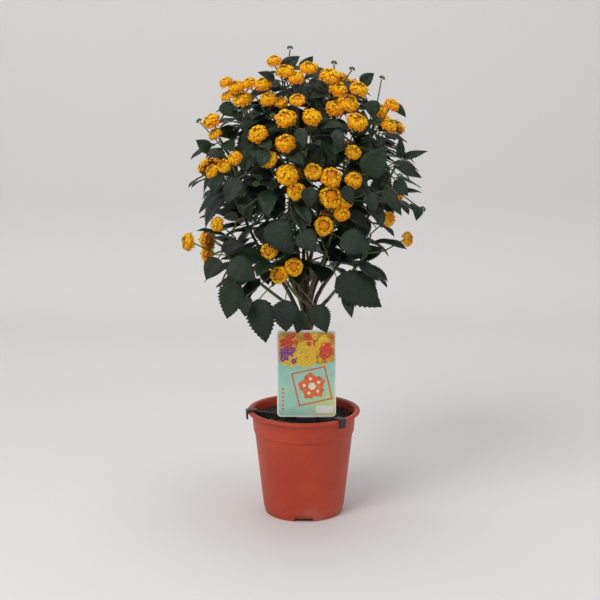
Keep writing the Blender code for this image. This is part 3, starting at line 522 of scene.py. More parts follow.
def set_front_leaf(plant, a0, d0, a1, d1, width, ahead):
    """One leaf that is seen by itself at the front, moved back or forward until it has room."""
    base = crown_depth(a0, d0)
    for move in (0, 8, -8, 16, -16, 26, 38, 1, 12, -12, 50):
        y = base - ahead + move
        foot = seen(a0, d0, y)
        tip = seen(a1, d1, y - 8.0 + plant.draw.uniform(-6.0, 6.0))
        lift = Vector((0.25 * (foot.x / 180.0), -1.0, 0.45))
        for _, name, p, _ in nearest_on(plant, foot)[:10]:
            root = near(plant, p - (foot - p).normalized() * 0.9)
            if not 3.0 <= (foot - root).length <= 95.0:
                continue
            leaf = Leaf(root, foot, tip, width * 1.47, lift, plant.draw.uniform(0.03, 0.10))
            if set_leaf(plant, name, leaf, move not in (1, 12, -12, 50)):
                return


def leaf_about(plant, shoot, point, axis, turn, length, droop):
    """One leaf out of a stem: turned about it, reaching out and drooping."""
    side, up = frame_on(axis)
    out = side * math.cos(turn) + up * math.sin(turn)
    away = Vector((point.x, point.y, 0.0))
    away = away.normalized() if away.length > 1.0 else Vector((0.0, -1.0, 0.0))
    way = (out + axis * 0.35 + away * 0.55 + Vector((0.0, 0.0, -droop))).normalized()
    foot = point + (out + away * 0.4 + Vector((0, 0, 0.15))).normalized() * length * 0.20
    tip = foot + way * length
    lift = Vector((away.x * 0.5, away.y * 0.5, 1.0))
    if abs(way.dot(lift.normalized())) > 0.92:
        lift = away
    width = length * plant.draw.uniform(0.54, 0.66)
    return Leaf(near(plant, point - out * 0.9), foot, tip, width, lift, plant.draw.uniform(0.04, 0.12))


def grow_leaves(plant):
    """Pairs of leaves, by rule: under each group of heads, along the twigs and along the stems."""
    places = []
    for shoot, start, knot in plant.sockets:
        axis = (knot - start).normalized()
        places.append((shoot, knot - axis * 1.5, axis, 4, 62.0, 0.25))
        if (knot - start).length > 45.0:
            places.append((shoot, start.lerp(knot, 0.55), axis, 2, 58.0, 0.45))
    for shoot, path in SHOOTS.items():
        line = smooth_line(path, 3)
        for i, t in ((3, 0.96), (3, 0.2), (2, 0.4), (1, 0.5)):
            axis = (line[i] - line[i - 1]).normalized()
            places.append((shoot, line[i - 1].lerp(line[i], t), axis, 2, 66.0, 0.6))
    plant.draw.shuffle(places)
    for shoot, point, axis, count, size, droop in places:
        base = plant.draw.uniform(0.0, 6.28)
        for k in range(count):
            for attempt in range(7):
                if len(plant.leaves) >= LEAVES:
                    return
                turn = base + k * math.pi * 2.0 / count + plant.draw.uniform(-0.5, 0.5)
                length = size * plant.draw.uniform(0.72, 1.15) * (1.0 - 0.07 * attempt)
                leaf = leaf_about(plant, shoot, point, axis, turn, length, droop + 0.1 * attempt)
                low = min(leaf.at(1, 0).z, leaf.at(0.6, 1).z) < 268.0
                if not low and not too_far(leaf) and set_leaf(plant, shoot, leaf, True):
                    break


def too_far(leaf):
    """Whether a leaf of the rule would leave the crown's outline."""
    for u, v in ((1.0, 0.0), (0.4, 1.0), (0.4, -1.0)):
        p = leaf.at(u, v)
        if (p.x / 172.0) ** 2 + ((p.z - 476.0) / 206.0) ** 2 > 1.0 or abs(p.y) > 166.0:
            return True
    return False


def fill_leaves(plant):
    """More leaves inside the crown, smaller than the ones that carry its outline."""
    draw = plant.draw = random.Random(31)
    places = []
    for name, parts in plant.lines.items():
        for a, b, _ in parts:
            many = max(1, int((b - a).length / 11.0))
            for i in range(2 * many):
                t = (i // 2 + draw.uniform(0.2, 0.8)) / many
                places.append((name, a.lerp(b, t), (b - a).normalized(), draw.uniform(0, 6.28)))
    for name, a, b, _ in plant.stalks:
        many = int((b - a).length / 12.0)
        for i in range(many * 2 if many > 2 and b.z > 470.0 else 0):
            t = 0.15 + 0.7 * (i // 2 + draw.random()) / many
            places.append((name, a.lerp(b, t), (b - a).normalized(), draw.uniform(0, 6.28)))
    draw.shuffle(places)
    places.sort(key=lambda one: one[1].z < 520.0)
    added = 0
    for owner, point, axis, turn in places * 3:
        if added >= FILL:
            break
        if point.z < 360.0 or (point.z < 430.0 and abs(point.x) > 80.0):
            continue
        length = draw.uniform(28.0, 46.0) if point.z > 560.0 else draw.uniform(34.0, 58.0)
        turn += draw.uniform(-1, 1)
        leaf = leaf_about(plant, owner, point, axis, turn, length, draw.uniform(0.1, 0.9))
        if leaf.at(1, 0).z >= 330.0 and not too_far(leaf) and set_leaf(plant, owner, leaf, True):
            added += 1


def grow_buds(plant):
    """Green heads of buds on stalks, fused to their shoots."""
    for across, down in FRONT_BUDS:
        p = seen(across, down, crown_depth(across, down) + 6.0)
        look = (facing(p) + Vector((0.0, 0.0, 0.3))).normalized()
        head = Head(p, look, 5.4)
        bud = head_solid_small(head)
        end = head.heel + look * 1.2
        for _, name, start, _ in nearest_on(plant, p)[:30]:
            stalk = tube([near(plant, start - look), end], [1.15, 1.0], 3)
            if plant.clear(bud, name) and plant.clear(stalk, name):
                plant.put(bud, name)
                plant.put(stalk, name)
                plant.stalks.append((name, start, end, 1.0))
                plant.buds.append((name, head))
                break


def head_solid_small(head):
    """A bud head: a knobbly button."""
    side, up = frame_on(head.look)
    r = head.radius
    points = [head.centre + head.look * r * 0.7]
    for k in range(6):
        a = 2.0 * math.pi * k / 6
        out = r * (1.0 if k % 2 == 0 else 0.86)
        points.append(head.centre + (side * math.cos(a) + up * math.sin(a)) * out + head.look * r * 0.15)
    points.append(head.heel)
    faces = []
    for k in range(6):
        j = (k + 1) % 6
        faces += [(0, 1 + k, 1 + j), (7, 1 + j, 1 + k)]
    return Solid(points, faces)


def box_solid(low, high):
    """A plain box between two corners."""
    xs, ys, zs = zip(low, high)
    points = [Vector((x, y, z)) for z in zs for y in ys for x in xs]
    faces = [(0, 2, 3, 1), (4, 5, 7, 6), (0, 1, 5, 4), (2, 6, 7, 3), (0, 4, 6, 2), (1, 3, 7, 5)]
    return Solid(points, faces)


def grow_plant():
    """The whole plant, in the order in which its parts take their room."""
    plant = Plant()
    plant.put(box_solid((-40.5, -49.5, 155.0), (48.5, -46.5, 294.0)), "label")
    plant.put(box_solid((-88.0, -88.0, 100.0), (88.0, 88.0, 164.0)), "pot")
    grow_heads(plant)
    grow_wood(plant)
    grow_stems(plant)
    grow_twigs(plant)
    grow_buds(plant)
    for spot in FRONT_LEAVES:
        set_front_leaf(plant, *spot)
    grow_leaves(plant)
    fill_leaves(plant)
    return plant


class Skin:
    """A mesh in the making: points in millimetres, faces with a kind, and marks for each point."""

    def __init__(self):
        self.points = []
        self.faces = []
        self.kinds = []
        self.marks = []
        self.count = 0

    def add(self, points, faces, marks=PLAIN, kind=0):
        """Adds a patch; marks are three numbers a point that its material reads."""
        points = np.asarray(points, dtype=float)
        self.points.append(points)
        self.faces.extend([tuple(i + self.count for i in face) for face in faces])
        self.kinds.extend([kind] * len(faces))
        marks = np.asarray(marks, dtype=float)
        if marks.ndim == 1:
            marks = np.tile(marks, (len(points), 1))
        self.marks.append(marks)
        self.count += len(points)

    def build(self, name, materials, smooth=True):
        """The object, in metres, with its marks as an attribute of its points."""
        mesh = bpy.data.meshes.new(name)
        points = np.concatenate(self.points) * MM
        mesh.from_pydata(points.tolist(), [], self.faces)
        for mat in materials:
            mesh.materials.append(mat)
        mesh.polygons.foreach_set("material_index", self.kinds)
        mesh.polygons.foreach_set("use_smooth", [smooth] * len(self.faces))
        marks = mesh.attributes.new("marks", "FLOAT_VECTOR", "POINT")
        marks.data.foreach_set("vector", np.concatenate(self.marks).ravel())
        mesh.update()
        obj = bpy.data.objects.new(name, mesh)
        bpy.context.scene.collection.objects.link(obj)
        return obj


def grid_faces(rows, columns, around=False):
    """Faces of a grid of points, closed in the second direction if it goes around."""
    faces = []
    for i in range(rows - 1):
        for k in range(columns if around else columns - 1):
            a, b = i * columns + k, i * columns + (k + 1) % columns
            faces.append((a, b, b + columns, a + columns))
    return faces


def rod(skin, line, radii, sides, marks=PLAIN, kind=0, rough=0.0):
    """A round rod along a line, smoothed and closed, its skin uneven if it is rough."""
    line = [Vector(p) for p in line]
    steps = []
    for i in range(len(line) - 1):
        a, b = line[max(i - 1, 0)], line[i]
        c, d = line[i + 1], line[min(i + 2, len(line) - 1)]
        for k in range(ROD_STEPS):
            t = k / ROD_STEPS
            square, cube = a * 2 - b * 5 + c * 4 - d, b * 3 - a - c * 3 + d
            p = (b * 2 + (c - a) * t + square * t * t + cube * t ** 3) * 0.5
            steps.append((p, radii[i] + (radii[i + 1] - radii[i]) * t))
    steps.append((line[-1], radii[-1]))
    points = []
    side = None
    for i, (p, r) in enumerate(steps):
        ahead = (steps[min(i + 1, len(steps) - 1)][0] - steps[max(i - 1, 0)][0]).normalized()
        if side is None:
            side, _ = frame_on(ahead)
        side = (side - ahead * side.dot(ahead)).normalized()
        up = ahead.cross(side)
        for k in range(sides):
            a = 2.0 * math.pi * k / sides
            out = side * math.cos(a) + up * math.sin(a)
            swell = 1.0
            if rough:
                swell += rough * noise.fractal(p * 0.11 + out * 0.8, 0.9, 2.1, 4)
            points.append(p + out * r * swell)
    n = len(steps)
    faces = grid_faces(n, sides, True)
    faces.append(tuple(range(sides - 1, -1, -1)))
    faces.append(tuple(range((n - 1) * sides, n * sides)))
    skin.add([tuple(p) for p in points], faces, marks, kind)


def blade_template():
    """Places on the blade as (u, v), with the faces between them, top and bottom."""
    us = np.linspace(0.0, 1.0, BLADE_ROWS)
    us[1::2] += 0.25 / TEETH
    vs = np.linspace(-1.0, 1.0, BLADE_COLUMNS)
    u, v = np.meshgrid(us, vs, indexing="ij")
    return u.ravel(), v.ravel(), grid_faces(BLADE_ROWS, BLADE_COLUMNS)


def blade_width(u):
    """Half width along the blade as a share of the widest, with a saw edge."""
    body = (np.clip(u, 0, 1) ** 0.55) * (np.clip(1.0 - u, 0, 1) ** 1.02)
    body = body / ((0.35 ** 0.55) * (0.65 ** 1.02))
    saw = ((u * TEETH + 1e-6) % 1.0) / 0.75
    return np.maximum(body * (0.90 + 0.19 * saw), 0.045 * (1.0 - u))


def fine_leaf(skin, leaf, draw):
    """One leaf: a quilted, toothed blade with sunk veins and a curved stalk."""
    u, v, faces = BLADE
    across = v * blade_width(u) * leaf.width * 0.5
    bow = leaf.arch * leaf.length * (np.sin(np.pi * u) - 0.25 * u * u)
    phase = draw.uniform(0, 6.28)
    flutter = 0.018 * leaf.length * np.sin(u * 9.0 + phase + np.sign(v) * 0.9) * v * v
    vein = u * VEINS - np.abs(v) * VEIN_SLANT
    fade = (1.0 - np.abs(v) ** 4) * np.clip(u * 8, 0, 1) * np.clip((1 - u) * 5, 0, 1)
    quilt = 0.42 * np.cos(2 * np.pi * vein) * fade
    rib = -0.55 * np.exp(-((across / 0.9) ** 2))
    curl = -0.10 * np.abs(across) * np.abs(v) ** 3
    high = 0.20 * np.abs(across) + bow + flutter - quilt + rib + curl
    base = np.outer(u, leaf.long) + np.outer(across, leaf.side) + np.array(leaf.foot)
    tone = draw.random()
    thick = np.where((np.abs(v) > 0.999) | (u > 0.999) | (u < 0.001), 0.10, 0.42)
    n = len(u)
    points = np.concatenate([base + np.outer(high, leaf.up), base + np.outer(high - thick, leaf.up)])
    marks = np.concatenate([np.stack([u, v, np.full(n, tone + side)], 1) for side in (0.0, 2.0)])
    all_faces = list(faces) + [tuple(n + i for i in face[::-1]) for face in faces]
    c, r = BLADE_COLUMNS, BLADE_ROWS
    ring = [k for k in range(c)] + [(i + 1) * c - 1 for i in range(1, r)]
    ring += [(r - 1) * c + k for k in range(c - 2, -1, -1)] + [i * c for i in range(r - 2, 0, -1)]
    for a, b in zip(ring, ring[1:] + ring[:1]):
        all_faces.append((b, a, n + a, n + b))
    skin.add(points, all_faces, marks, 0)
    bend = leaf.root.lerp(leaf.foot, 0.6) + Vector((0, 0, -0.6))
    line = [leaf.root, bend, leaf.foot + leaf.long * 0.03]
    rod(skin, line, [1.0, 0.85, 0.75], 6, (tone, 0.4, 0.0), 1)


def floret_template():
    """A floret of radius one that faces +Z: throat, five lobes and a tube below."""
    points, faces = [(0.0, 0.0, -0.25)], []
    rings = ((0.22, 0.0), (0.60, 0.08), (1.0, -0.10), (0.22, -0.16), (0.15, -1.0))
    for row, (reach, high) in enumerate(rings):
        many = 20 if row in (1, 2) else 5
        for k in range(many):
            a = 2 * math.pi * k / many
            lobe = min(1.0, abs(math.sin(2.5 * a)) * 1.45) ** 0.8
            far = 0.34 + (reach - 0.34) * lobe if many == 20 else reach
            dip = 0.14 * (1.0 - lobe) if many == 20 else 0.0
            points.append((far * math.cos(a), far * math.sin(a), high - dip))
    for k in range(5):
        j = (k + 1) % 5
        throat, inner, low, low_next = 1 + k, 1 + j, 46 + k, 46 + j
        a, b, c, d, e = (6 + (4 * k + i) % 20 for i in range(5))
        faces += [(0, throat, inner), (throat, a, b), (throat, b, c), (throat, c, inner)]
        faces += [(inner, c, d), (inner, d, e)]
        faces += [(p, p + 20, q + 20, q) for p, q in ((a, b), (b, c), (c, d), (d, e))]
        a, b, c, d, e = (i + 20 for i in (a, b, c, d, e))
        faces += [(low, b, a), (low, c, b), (low, low_next, c), (low_next, d, c), (low_next, e, d)]
        faces.append((low_next, low, 51 + k, 51 + j))
    faces.append((55, 54, 53, 52, 51))
    return np.array(points), faces


def bud_template():
    """A closed floret of radius one: a small pointed knob."""
    rows = [(0.0, 1.25), (0.55, 0.85), (0.80, 0.2), (0.45, -0.8)]
    points, faces = [(0.0, 0.0, rows[0][1])], []
    for r, z in rows[1:]:
        for k in range(6):
            a = 2 * math.pi * k / 6
            points.append((r * math.cos(a), r * math.sin(a), z))
    for k in range(6):
        j = (k + 1) % 6
        faces.append((0, 1 + k, 1 + j))
        for i in range(2):
            a, b = 1 + i * 6, 7 + i * 6
            faces.append((a + k, b + k, b + j, a + j))
    faces.append(tuple(range(18, 12, -1)))
    return np.array(points), faces


def set_piece(skin, template, place, way, size, turn, marks=PLAIN, kind=0, deep=None):
    """Puts a template at a place, facing a way; deep stretches what lies below its face."""
    points, faces = template
    side, up = frame_on(way)
    one = np.array(side * math.cos(turn) + up * math.sin(turn))
    two = np.cross(way, one)
    shape = points * size
    z = shape[:, 2].copy()
    if deep is not None:
        z[points[:, 2] < -0.9] = -deep
    world = np.outer(shape[:, 0], one) + np.outer(shape[:, 1], two) + np.outer(z, way) + np.array(place)
    skin.add(world, faces, marks, kind)


def spiral(head, count, edge, spin=0.0):
    """Places over a dome: number, share of the way out, angle from its middle, turn, two ways out."""
    side, up = frame_on(head.look)
    for i in range(count):
        share = (i + 0.5) / count
        polar = math.radians(edge) * math.sqrt(share)
        turn = spin + i * GOLDEN_TURN
        flat = side * math.cos(turn) + up * math.sin(turn)
        way = (head.look * math.cos(polar) + flat * math.sin(polar)).normalized()
        yield i, share, polar, turn, flat, way


def fine_head(skin, head, draw, young):
    """A dome of florets in a spiral, young buds at its middle, their tubes gathered at the heel."""
    r = head.radius * 1.12
    side, up = frame_on(head.look)
    root = head.centre - head.look * r * 0.42
    closed = int(young * 12)
    spin = draw.uniform(0, 6.28)
    warm = draw.uniform(-0.12, 0.12)
    shape = FLORET[0]
    radial = np.hypot(shape[:, 0], shape[:, 1])
    radial[shape[:, 2] < -0.14] = 0.9
    radial[0] = 0.0
    for i, share, polar, turn, flat, way in spiral(head, FLORETS, 104.0, spin):
        wide = 0.80 * r * math.sin(polar) * draw.uniform(0.88, 1.06)
        high = 0.50 * r * math.cos(polar) + draw.uniform(-0.09, 0.09) * r
        if polar > 1.5:
            high -= 0.06 * r
        place = head.centre + flat * wide + head.look * high
        lean = side * draw.uniform(-0.4, 0.4) + up * draw.uniform(-0.4, 0.4)
        aim = (way * 0.85 + head.look * 0.35 + lean).normalized()
        size = r * 0.222 * draw.uniform(0.84, 1.14)
        if i < closed:
            knob = r * (0.075 + 0.05 * i / closed)
            tone = 1.0 if i < closed * 0.55 else 0.55
            set_piece(skin, BUD, place - head.look * r * 0.03, aim, knob, turn, (0.0, tone, warm))
            continue
        age = min(1.0, max(0.0, share * 1.25 - young * 0.35 + draw.uniform(-0.12, 0.12)))
        # The second mark, minus the distance from the floret's middle, sets where the material paints
        # shade into its throat.
        marks = np.stack([np.full(len(shape), age), -radial, np.full(len(shape), warm)], 1)
        deep = (place - root).length * 0.86
        set_piece(skin, FLORET, place, aim, size, draw.uniform(0, 6.28), marks, 0, deep)
    head_core(skin, head, warm)


def head_core(skin, head, warm):
    """The gathered tubes inside a head, from its heel out."""
    side, up = frame_on(head.look)
    r = head.radius
    rows = [(0.10, -0.60), (0.22, -0.46), (0.44, -0.20), (0.58, 0.0), (0.46, 0.22), (0.20, 0.36)]
    points = []
    for reach, high in rows:
        for k in range(16):
            a = 2 * math.pi * k / 16
            out = (side * math.cos(a) + up * math.sin(a)) * r * reach * (1.10 if k % 2 else 0.90)
            points.append(tuple(head.centre + out + head.look * r * high))
    faces = grid_faces(len(rows), 16, True)
    faces.append(tuple(range(15, -1, -1)))
    faces.append(tuple(range((len(rows) - 1) * 16, len(rows) * 16)))
    # Marked 2.0, the core takes the material's darker orange, painted shade for the gaps between florets.
    skin.add(points, faces, (0.4, 2.0, warm))


def fine_bud_head(skin, head, draw):
    """A green head of closed buds."""
    r = head.radius
    for _, _, polar, turn, flat, way in spiral(head, 16, 100.0):
        place = head.centre + flat * r * 0.62 * math.sin(polar) + head.look * r * 0.45 * math.cos(polar)
        set_piece(skin, BUD, place, way, r * 0.24, turn, (draw.random(), 0.9, 0.0), 1)


class Shade:
    """A few short ways to wire shader nodes."""

    def __init__(self, name):
        self.mat = bpy.data.materials.new(name)
        self.mat.use_nodes = True
        self.nodes = self.mat.node_tree.nodes
        self.links = self.mat.node_tree.links
        self.out = self.nodes["Principled BSDF"]

    def put(self, value, socket):
        """Links an output to a socket, or sets the socket to a value."""
        if hasattr(value, "is_output"):
            self.links.new(value, socket)
        elif isinstance(value, tuple) and len(value) == 3 and socket.type == "RGBA":
            socket.default_value = (*value, 1.0)
        else:
            socket.default_value = value

    def math(self, kind, a, b=0.0):
        node = self.nodes.new("ShaderNodeMath")
        node.operation = kind
        self.put(a, node.inputs[0])
        self.put(b, node.inputs[1])
        return node.outputs[0]

    def plus(self, a, b):
        return self.math("ADD", a, b)

    def minus(self, a, b):
        return self.math("SUBTRACT", a, b)

    def times(self, a, b):
        return self.math("MULTIPLY", a, b)

    def ramp(self, value, low, high):
        """Smooth step of a value between two bounds."""
        node = self.nodes.new("ShaderNodeMapRange")
        node.interpolation_type = "SMOOTHSTEP"
        self.put(value, node.inputs["Value"])
        node.inputs["From Min"].default_value = low
        node.inputs["From Max"].default_value = high
        return node.outputs["Result"]

    def mix(self, share, a, b):
        node = self.nodes.new("ShaderNodeMix")
        node.data_type = "RGBA"
        self.put(share, node.inputs["Factor"])
        self.put(a, node.inputs[6])
        self.put(b, node.inputs[7])
        return node.outputs[2]

    def split(self, vector):
        node = self.nodes.new("ShaderNodeSeparateXYZ")
        self.links.new(vector, node.inputs[0])
        return node.outputs[0], node.outputs[1], node.outputs[2]

    def marks(self):
        """The three numbers that each point of the mesh carries."""
        node = self.nodes.new("ShaderNodeAttribute")
        node.attribute_name = "marks"
        return self.split(node.outputs["Vector"])

    def place(self):
        return self.nodes.new("ShaderNodeNewGeometry").outputs["Position"]

    def noise(self, scale, detail=3.0):
        node = self.nodes.new("ShaderNodeTexNoise")
        self.put(self.place(), node.inputs["Vector"])
        node.inputs["Scale"].default_value = scale
        node.inputs["Detail"].default_value = detail
        return node.outputs["Fac"]

    def cells(self, scale):
        """Distance to the borders of irregular cells."""
        node = self.nodes.new("ShaderNodeTexVoronoi")
        node.feature = "DISTANCE_TO_EDGE"
        self.put(self.place(), node.inputs["Vector"])
        node.inputs["Scale"].default_value = scale
        return node.outputs["Distance"]

    def bump(self, height, strength, distance):
        node = self.nodes.new("ShaderNodeBump")
        node.inputs["Strength"].default_value = strength
        node.inputs["Distance"].default_value = distance
        self.put(height, node.inputs["Height"])
        self.links.new(node.outputs[0], self.out.inputs["Normal"])

    def finish(self, colour, rough, **more):
        self.put(colour, self.out.inputs["Base Color"])
        self.put(rough, self.out.inputs["Roughness"])
        for name, value in more.items():
            self.put(value, self.out.inputs[name.replace("_", " ")])
        return self.mat


def leaf_material():
    """Dark rugose leaves: paler sunk veins, a pale underside and tone from leaf to leaf."""
    s = Shade("leaf")
    u, v, tone = s.marks()
    under = s.math("GREATER_THAN", tone, 1.5)
    tone = s.minus(tone, s.times(under, 2.0))
    wide = s.math("ABSOLUTE", v)
    run = s.minus(s.times(u, VEINS), s.times(wide, VEIN_SLANT))
    near = s.math("ABSOLUTE", s.minus(s.math("FRACT", run), 0.5))
    veins = s.minus(1.0, s.ramp(s.minus(0.5, near), 0.02, 0.10))
    rib = s.minus(1.0, s.ramp(wide, 0.015, 0.06))
    lines = s.math("MAXIMUM", veins, rib)
    net = s.cells(420.0)
    mottle = s.noise(60.0, 4.0)
    dark = s.mix(tone, (0.0035, 0.0095, 0.0050), (0.0085, 0.0240, 0.0085))
    light = s.mix(tone, (0.0060, 0.0150, 0.0070), (0.0140, 0.0360, 0.0110))
    body = s.mix(s.ramp(mottle, 0.35, 0.7), dark, light)
    face = s.mix(s.times(lines, 0.30), body, (0.030, 0.060, 0.024))
    back = s.mix(s.times(lines, 0.6), (0.024, 0.046, 0.022), (0.060, 0.090, 0.042))
    colour = s.mix(under, face, back)
    relief = s.minus(s.ramp(net, 0.0, 0.35), s.times(lines, 0.9))
    s.bump(relief, 0.55, 0.0006)
    rough = s.plus(0.32, s.times(mottle, 0.22))
    return s.finish(colour, rough, Specular_IOR_Level=0.34)


def stem_material():
    """Green stalks, a little paler and reddish in places."""
    s = Shade("stem")
    tone, kind, _ = s.marks()
    streak = s.noise(150.0, 3.0)
    green = s.mix(s.ramp(streak, 0.3, 0.7), (0.050, 0.095, 0.024), (0.100, 0.150, 0.045))
    colour = s.mix(s.times(kind, 0.6), green, (0.120, 0.170, 0.035))
    s.bump(s.noise(700.0, 2.0), 0.3, 0.0003)
    return s.finish(colour, s.plus(0.5, s.times(streak, 0.2)))


def bloom_material():
    """Petals from yellow at the middle of a head to deep orange outside, green on the youngest, with
    painted shade in each floret's throat and on the core between florets.
    """
    s = Shade("petals")
    age, mark, warm = s.marks()
    reach = s.times(mark, -1.0)
    age = s.plus(age, warm)
    hue = s.mix(s.ramp(age, 0.05, 0.55), (0.98, 0.56, 0.008), (0.98, 0.38, 0.004))
    hue = s.mix(s.ramp(age, 0.5, 1.05), hue, (0.97, 0.270, 0.003))
    # Painted shade: each floret darkens to a deep red-orange towards the middle of its cup, where shade
    # falls.
    throat = s.times(s.minus(1.0, s.ramp(reach, 0.02, 0.34)), s.math("LESS_THAN", mark, 0.001))
    hue = s.mix(s.times(throat, 0.6), hue, (0.80, 0.150, 0.004))
    rim = s.times(s.ramp(reach, 0.55, 1.0), 0.35)
    hue = s.mix(rim, hue, (0.99, 0.46, 0.006))
    hue = s.mix(s.times(s.noise(900.0, 2.0), 0.20), hue, (0.99, 0.42, 0.006))
    hue = s.mix(s.ramp(mark, 0.5, 1.0), hue, (0.260, 0.300, 0.030))
    # The core of gathered tubes: their own orange, deepened as painted shade in the gaps between florets.
    hue = s.mix(s.ramp(mark, 1.5, 2.0), hue, (0.800, 0.235, 0.005))
    s.bump(s.noise(1300.0, 2.0), 0.25, 0.0003)
    return s.finish(hue, 0.68, Subsurface_Weight=0.10, Specular_IOR_Level=0.15)


def bark_material():
    """Brown bark with pale flecks and fine cracks."""
    s = Shade("bark")
    grain = s.noise(220.0, 6.0)
    flecks = s.noise(60.0, 3.0)
    cracks = s.cells(260.0)
    colour = s.mix(s.ramp(grain, 0.3, 0.75), (0.060, 0.036, 0.020), (0.200, 0.130, 0.075))
    colour = s.mix(s.times(s.ramp(flecks, 0.55, 0.75), 0.5), colour, (0.290, 0.230, 0.160))
    relief = s.plus(grain, s.times(s.ramp(cracks, 0.0, 0.2), 0.6))
    s.bump(relief, 0.8, 0.0012)
    return s.finish(colour, 0.85)


def pot_material():
    """Terracotta-coloured plastic: faint clouding, moulding lines, scuffs and dust near the foot."""
    s = Shade("pot_plastic")
    cloud = s.noise(14.0, 5.0)
    fine = s.noise(420.0, 4.0)
    z = s.split(s.place())[2]
    colour = s.mix(s.ramp(cloud, 0.35, 0.68), POT_DARK, POT_LIGHT)
    colour = s.mix(s.times(s.ramp(fine, 0.55, 0.8), 0.22), colour, (0.50, 0.15, 0.09))
    low = s.minus(1.0, s.ramp(z, 0.0, 0.035))
    dust = s.times(low, s.ramp(s.noise(45.0, 5.0), 0.42, 0.7))
    colour = s.mix(s.times(dust, 0.35), colour, (0.40, 0.24, 0.18))
    line = s.math("SINE", s.times(z, 2200.0))
    s.bump(s.plus(s.times(line, 0.10), s.times(fine, 0.6)), 0.18, 0.0004)
    rough = s.plus(0.40, s.times(cloud, 0.16))
    return s.finish(colour, rough)


def peat_material():
    """Dark peat, its lumps catching a little light."""
    s = Shade("peat")
    grain = s.noise(240.0, 6.0)
    coarse = s.noise(60.0, 4.0)
    colour = s.mix(s.ramp(grain, 0.3, 0.75), (0.010, 0.006, 0.004), (0.075, 0.042, 0.024))
    colour = s.mix(s.times(s.ramp(coarse, 0.55, 0.75), 0.6), colour, (0.130, 0.075, 0.040))
    s.bump(grain, 1.0, 0.0022)
    return s.finish(colour, 0.95)


def black_material():
    """Satin black plastic, hazed in places."""
    s = Shade("black_plastic")
    haze = s.noise(80.0, 4.0)
    colour = s.mix(haze, (0.008, 0.008, 0.009), (0.026, 0.025, 0.025))
    s.bump(s.noise(900.0, 3.0), 0.12, 0.0003)
    return s.finish(colour, s.plus(0.30, s.times(haze, 0.25)))


def print_material(name, colour, other, scale=60.0):
    """One ink of the card: two close shades and the card's own fine tooth."""
    s = Shade(name)
    hue = s.mix(s.ramp(s.noise(scale, 4.0), 0.35, 0.68), colour, other)
    s.bump(s.noise(1500.0, 2.0), 0.06, 0.0002)
    return s.finish(hue, 0.32)


def straw_material():
    s = Shade("straw")
    colour = s.mix(s.noise(300.0, 3.0), (0.34, 0.22, 0.10), (0.60, 0.44, 0.24))
    s.bump(s.noise(500.0, 2.0), 0.3, 0.0003)
    return s.finish(colour, 0.7)


def turned(skin, profile, sides):
    """A turned skin from (radius, height) in millimetres, first and last points on the axis."""
    points, faces = [], []
    for r, z in profile[1:-1]:
        for k in range(sides):
            a = 2.0 * math.pi * k / sides
            points.append((r * math.cos(a), r * math.sin(a), z))
    last = len(points) - sides
    faces = grid_faces(len(profile) - 2, sides, True)
    for k in range(sides):
        j = (k + 1) % sides
        faces += [(last + sides, j, k), (last + k, last + j, last + sides + 1)]
    points += [(0.0, 0.0, profile[0][1]), (0.0, 0.0, profile[-1][1])]
    skin.add(points, faces)


def rounded(profile, corner):
    """Takes the sharp corners off a profile with short arcs."""
    out = [profile[0]]
    for before, here, after in zip(profile, profile[1:], profile[2:]):
        a, b, c = Vector(before), Vector(here), Vector(after)
        cut = min(corner, (a - b).length * 0.4, (c - b).length * 0.4)
        one = b + (a - b).normalized() * cut
        two = b + (c - b).normalized() * cut
        for t in (0.0, 0.33, 0.67, 1.0):
            out.append(tuple(one * (1 - t) ** 2 + b * 2 * t * (1 - t) + two * t * t))
    out.append(profile[-1])
    return out


def make_pot():
    """The pot, turned from the profile of its wall, with four notches in its foot ring."""
    h = 160.0
    profile = [
        (0.0, 6.0), (51.5, 6.0), (53.0, 0.0), (58.5, 0.0), (61.5, 13.0), (74.0, 126.0), (75.8, 126.8),
        (78.0, h - 4.8), (84.4, h - 4.8), (85.0, h - 1.4), (83.0, h), (77.0, h - 0.6), (75.8, h - 6.0),
        (71.8, 124.0), (59.3, 15.0), (55.3, 9.0), (0.0, 9.0),
    ]
    skin = Skin()
    turned(skin, rounded(profile, 0.9), 160)
    pot = skin.build("pot_fine", [pot_material()])
    for k in range(4):
        a = math.radians(-90.0 + 90.0 * k)
        corners = []
        for z in (-6.0, 5.6):
            for x, y in ((48.5, -13), (66.5, -13), (66.5, 13), (48.5, 13)):
                corners.append((x * math.cos(a) - y * math.sin(a), x * math.sin(a) + y * math.cos(a), z))
        tool = Skin()
        tool.add(corners, [(3, 2, 1, 0), (4, 5, 6, 7)] + grid_faces(2, 4, True))
        box = tool.build("notch", [])
        cut = pot.modifiers.new("notch", "BOOLEAN")
        cut.operation = "DIFFERENCE"
        cut.solver = "MANIFOLD"
        cut.object = box
        settle(pot)
        bpy.data.objects.remove(box, do_unlink=True)
    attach(pot, "root")
    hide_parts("pot")


def settle(obj):
    """Takes what the modifiers give as the object's own mesh."""
    bpy.context.view_layer.update()
    shape = obj.evaluated_get(bpy.context.evaluated_depsgraph_get())
    mesh = bpy.data.meshes.new_from_object(shape)
    obj.modifiers.clear()
    obj.data = mesh


def soil_height(x, y):
    """Height of the peat's top in millimetres."""
    spot = Vector((x * 0.045, y * 0.045, 0.3))
    return PEAT_TOP + 2.2 * noise.fractal(spot * 2.2, 0.8, 2.0, 5) - 0.6


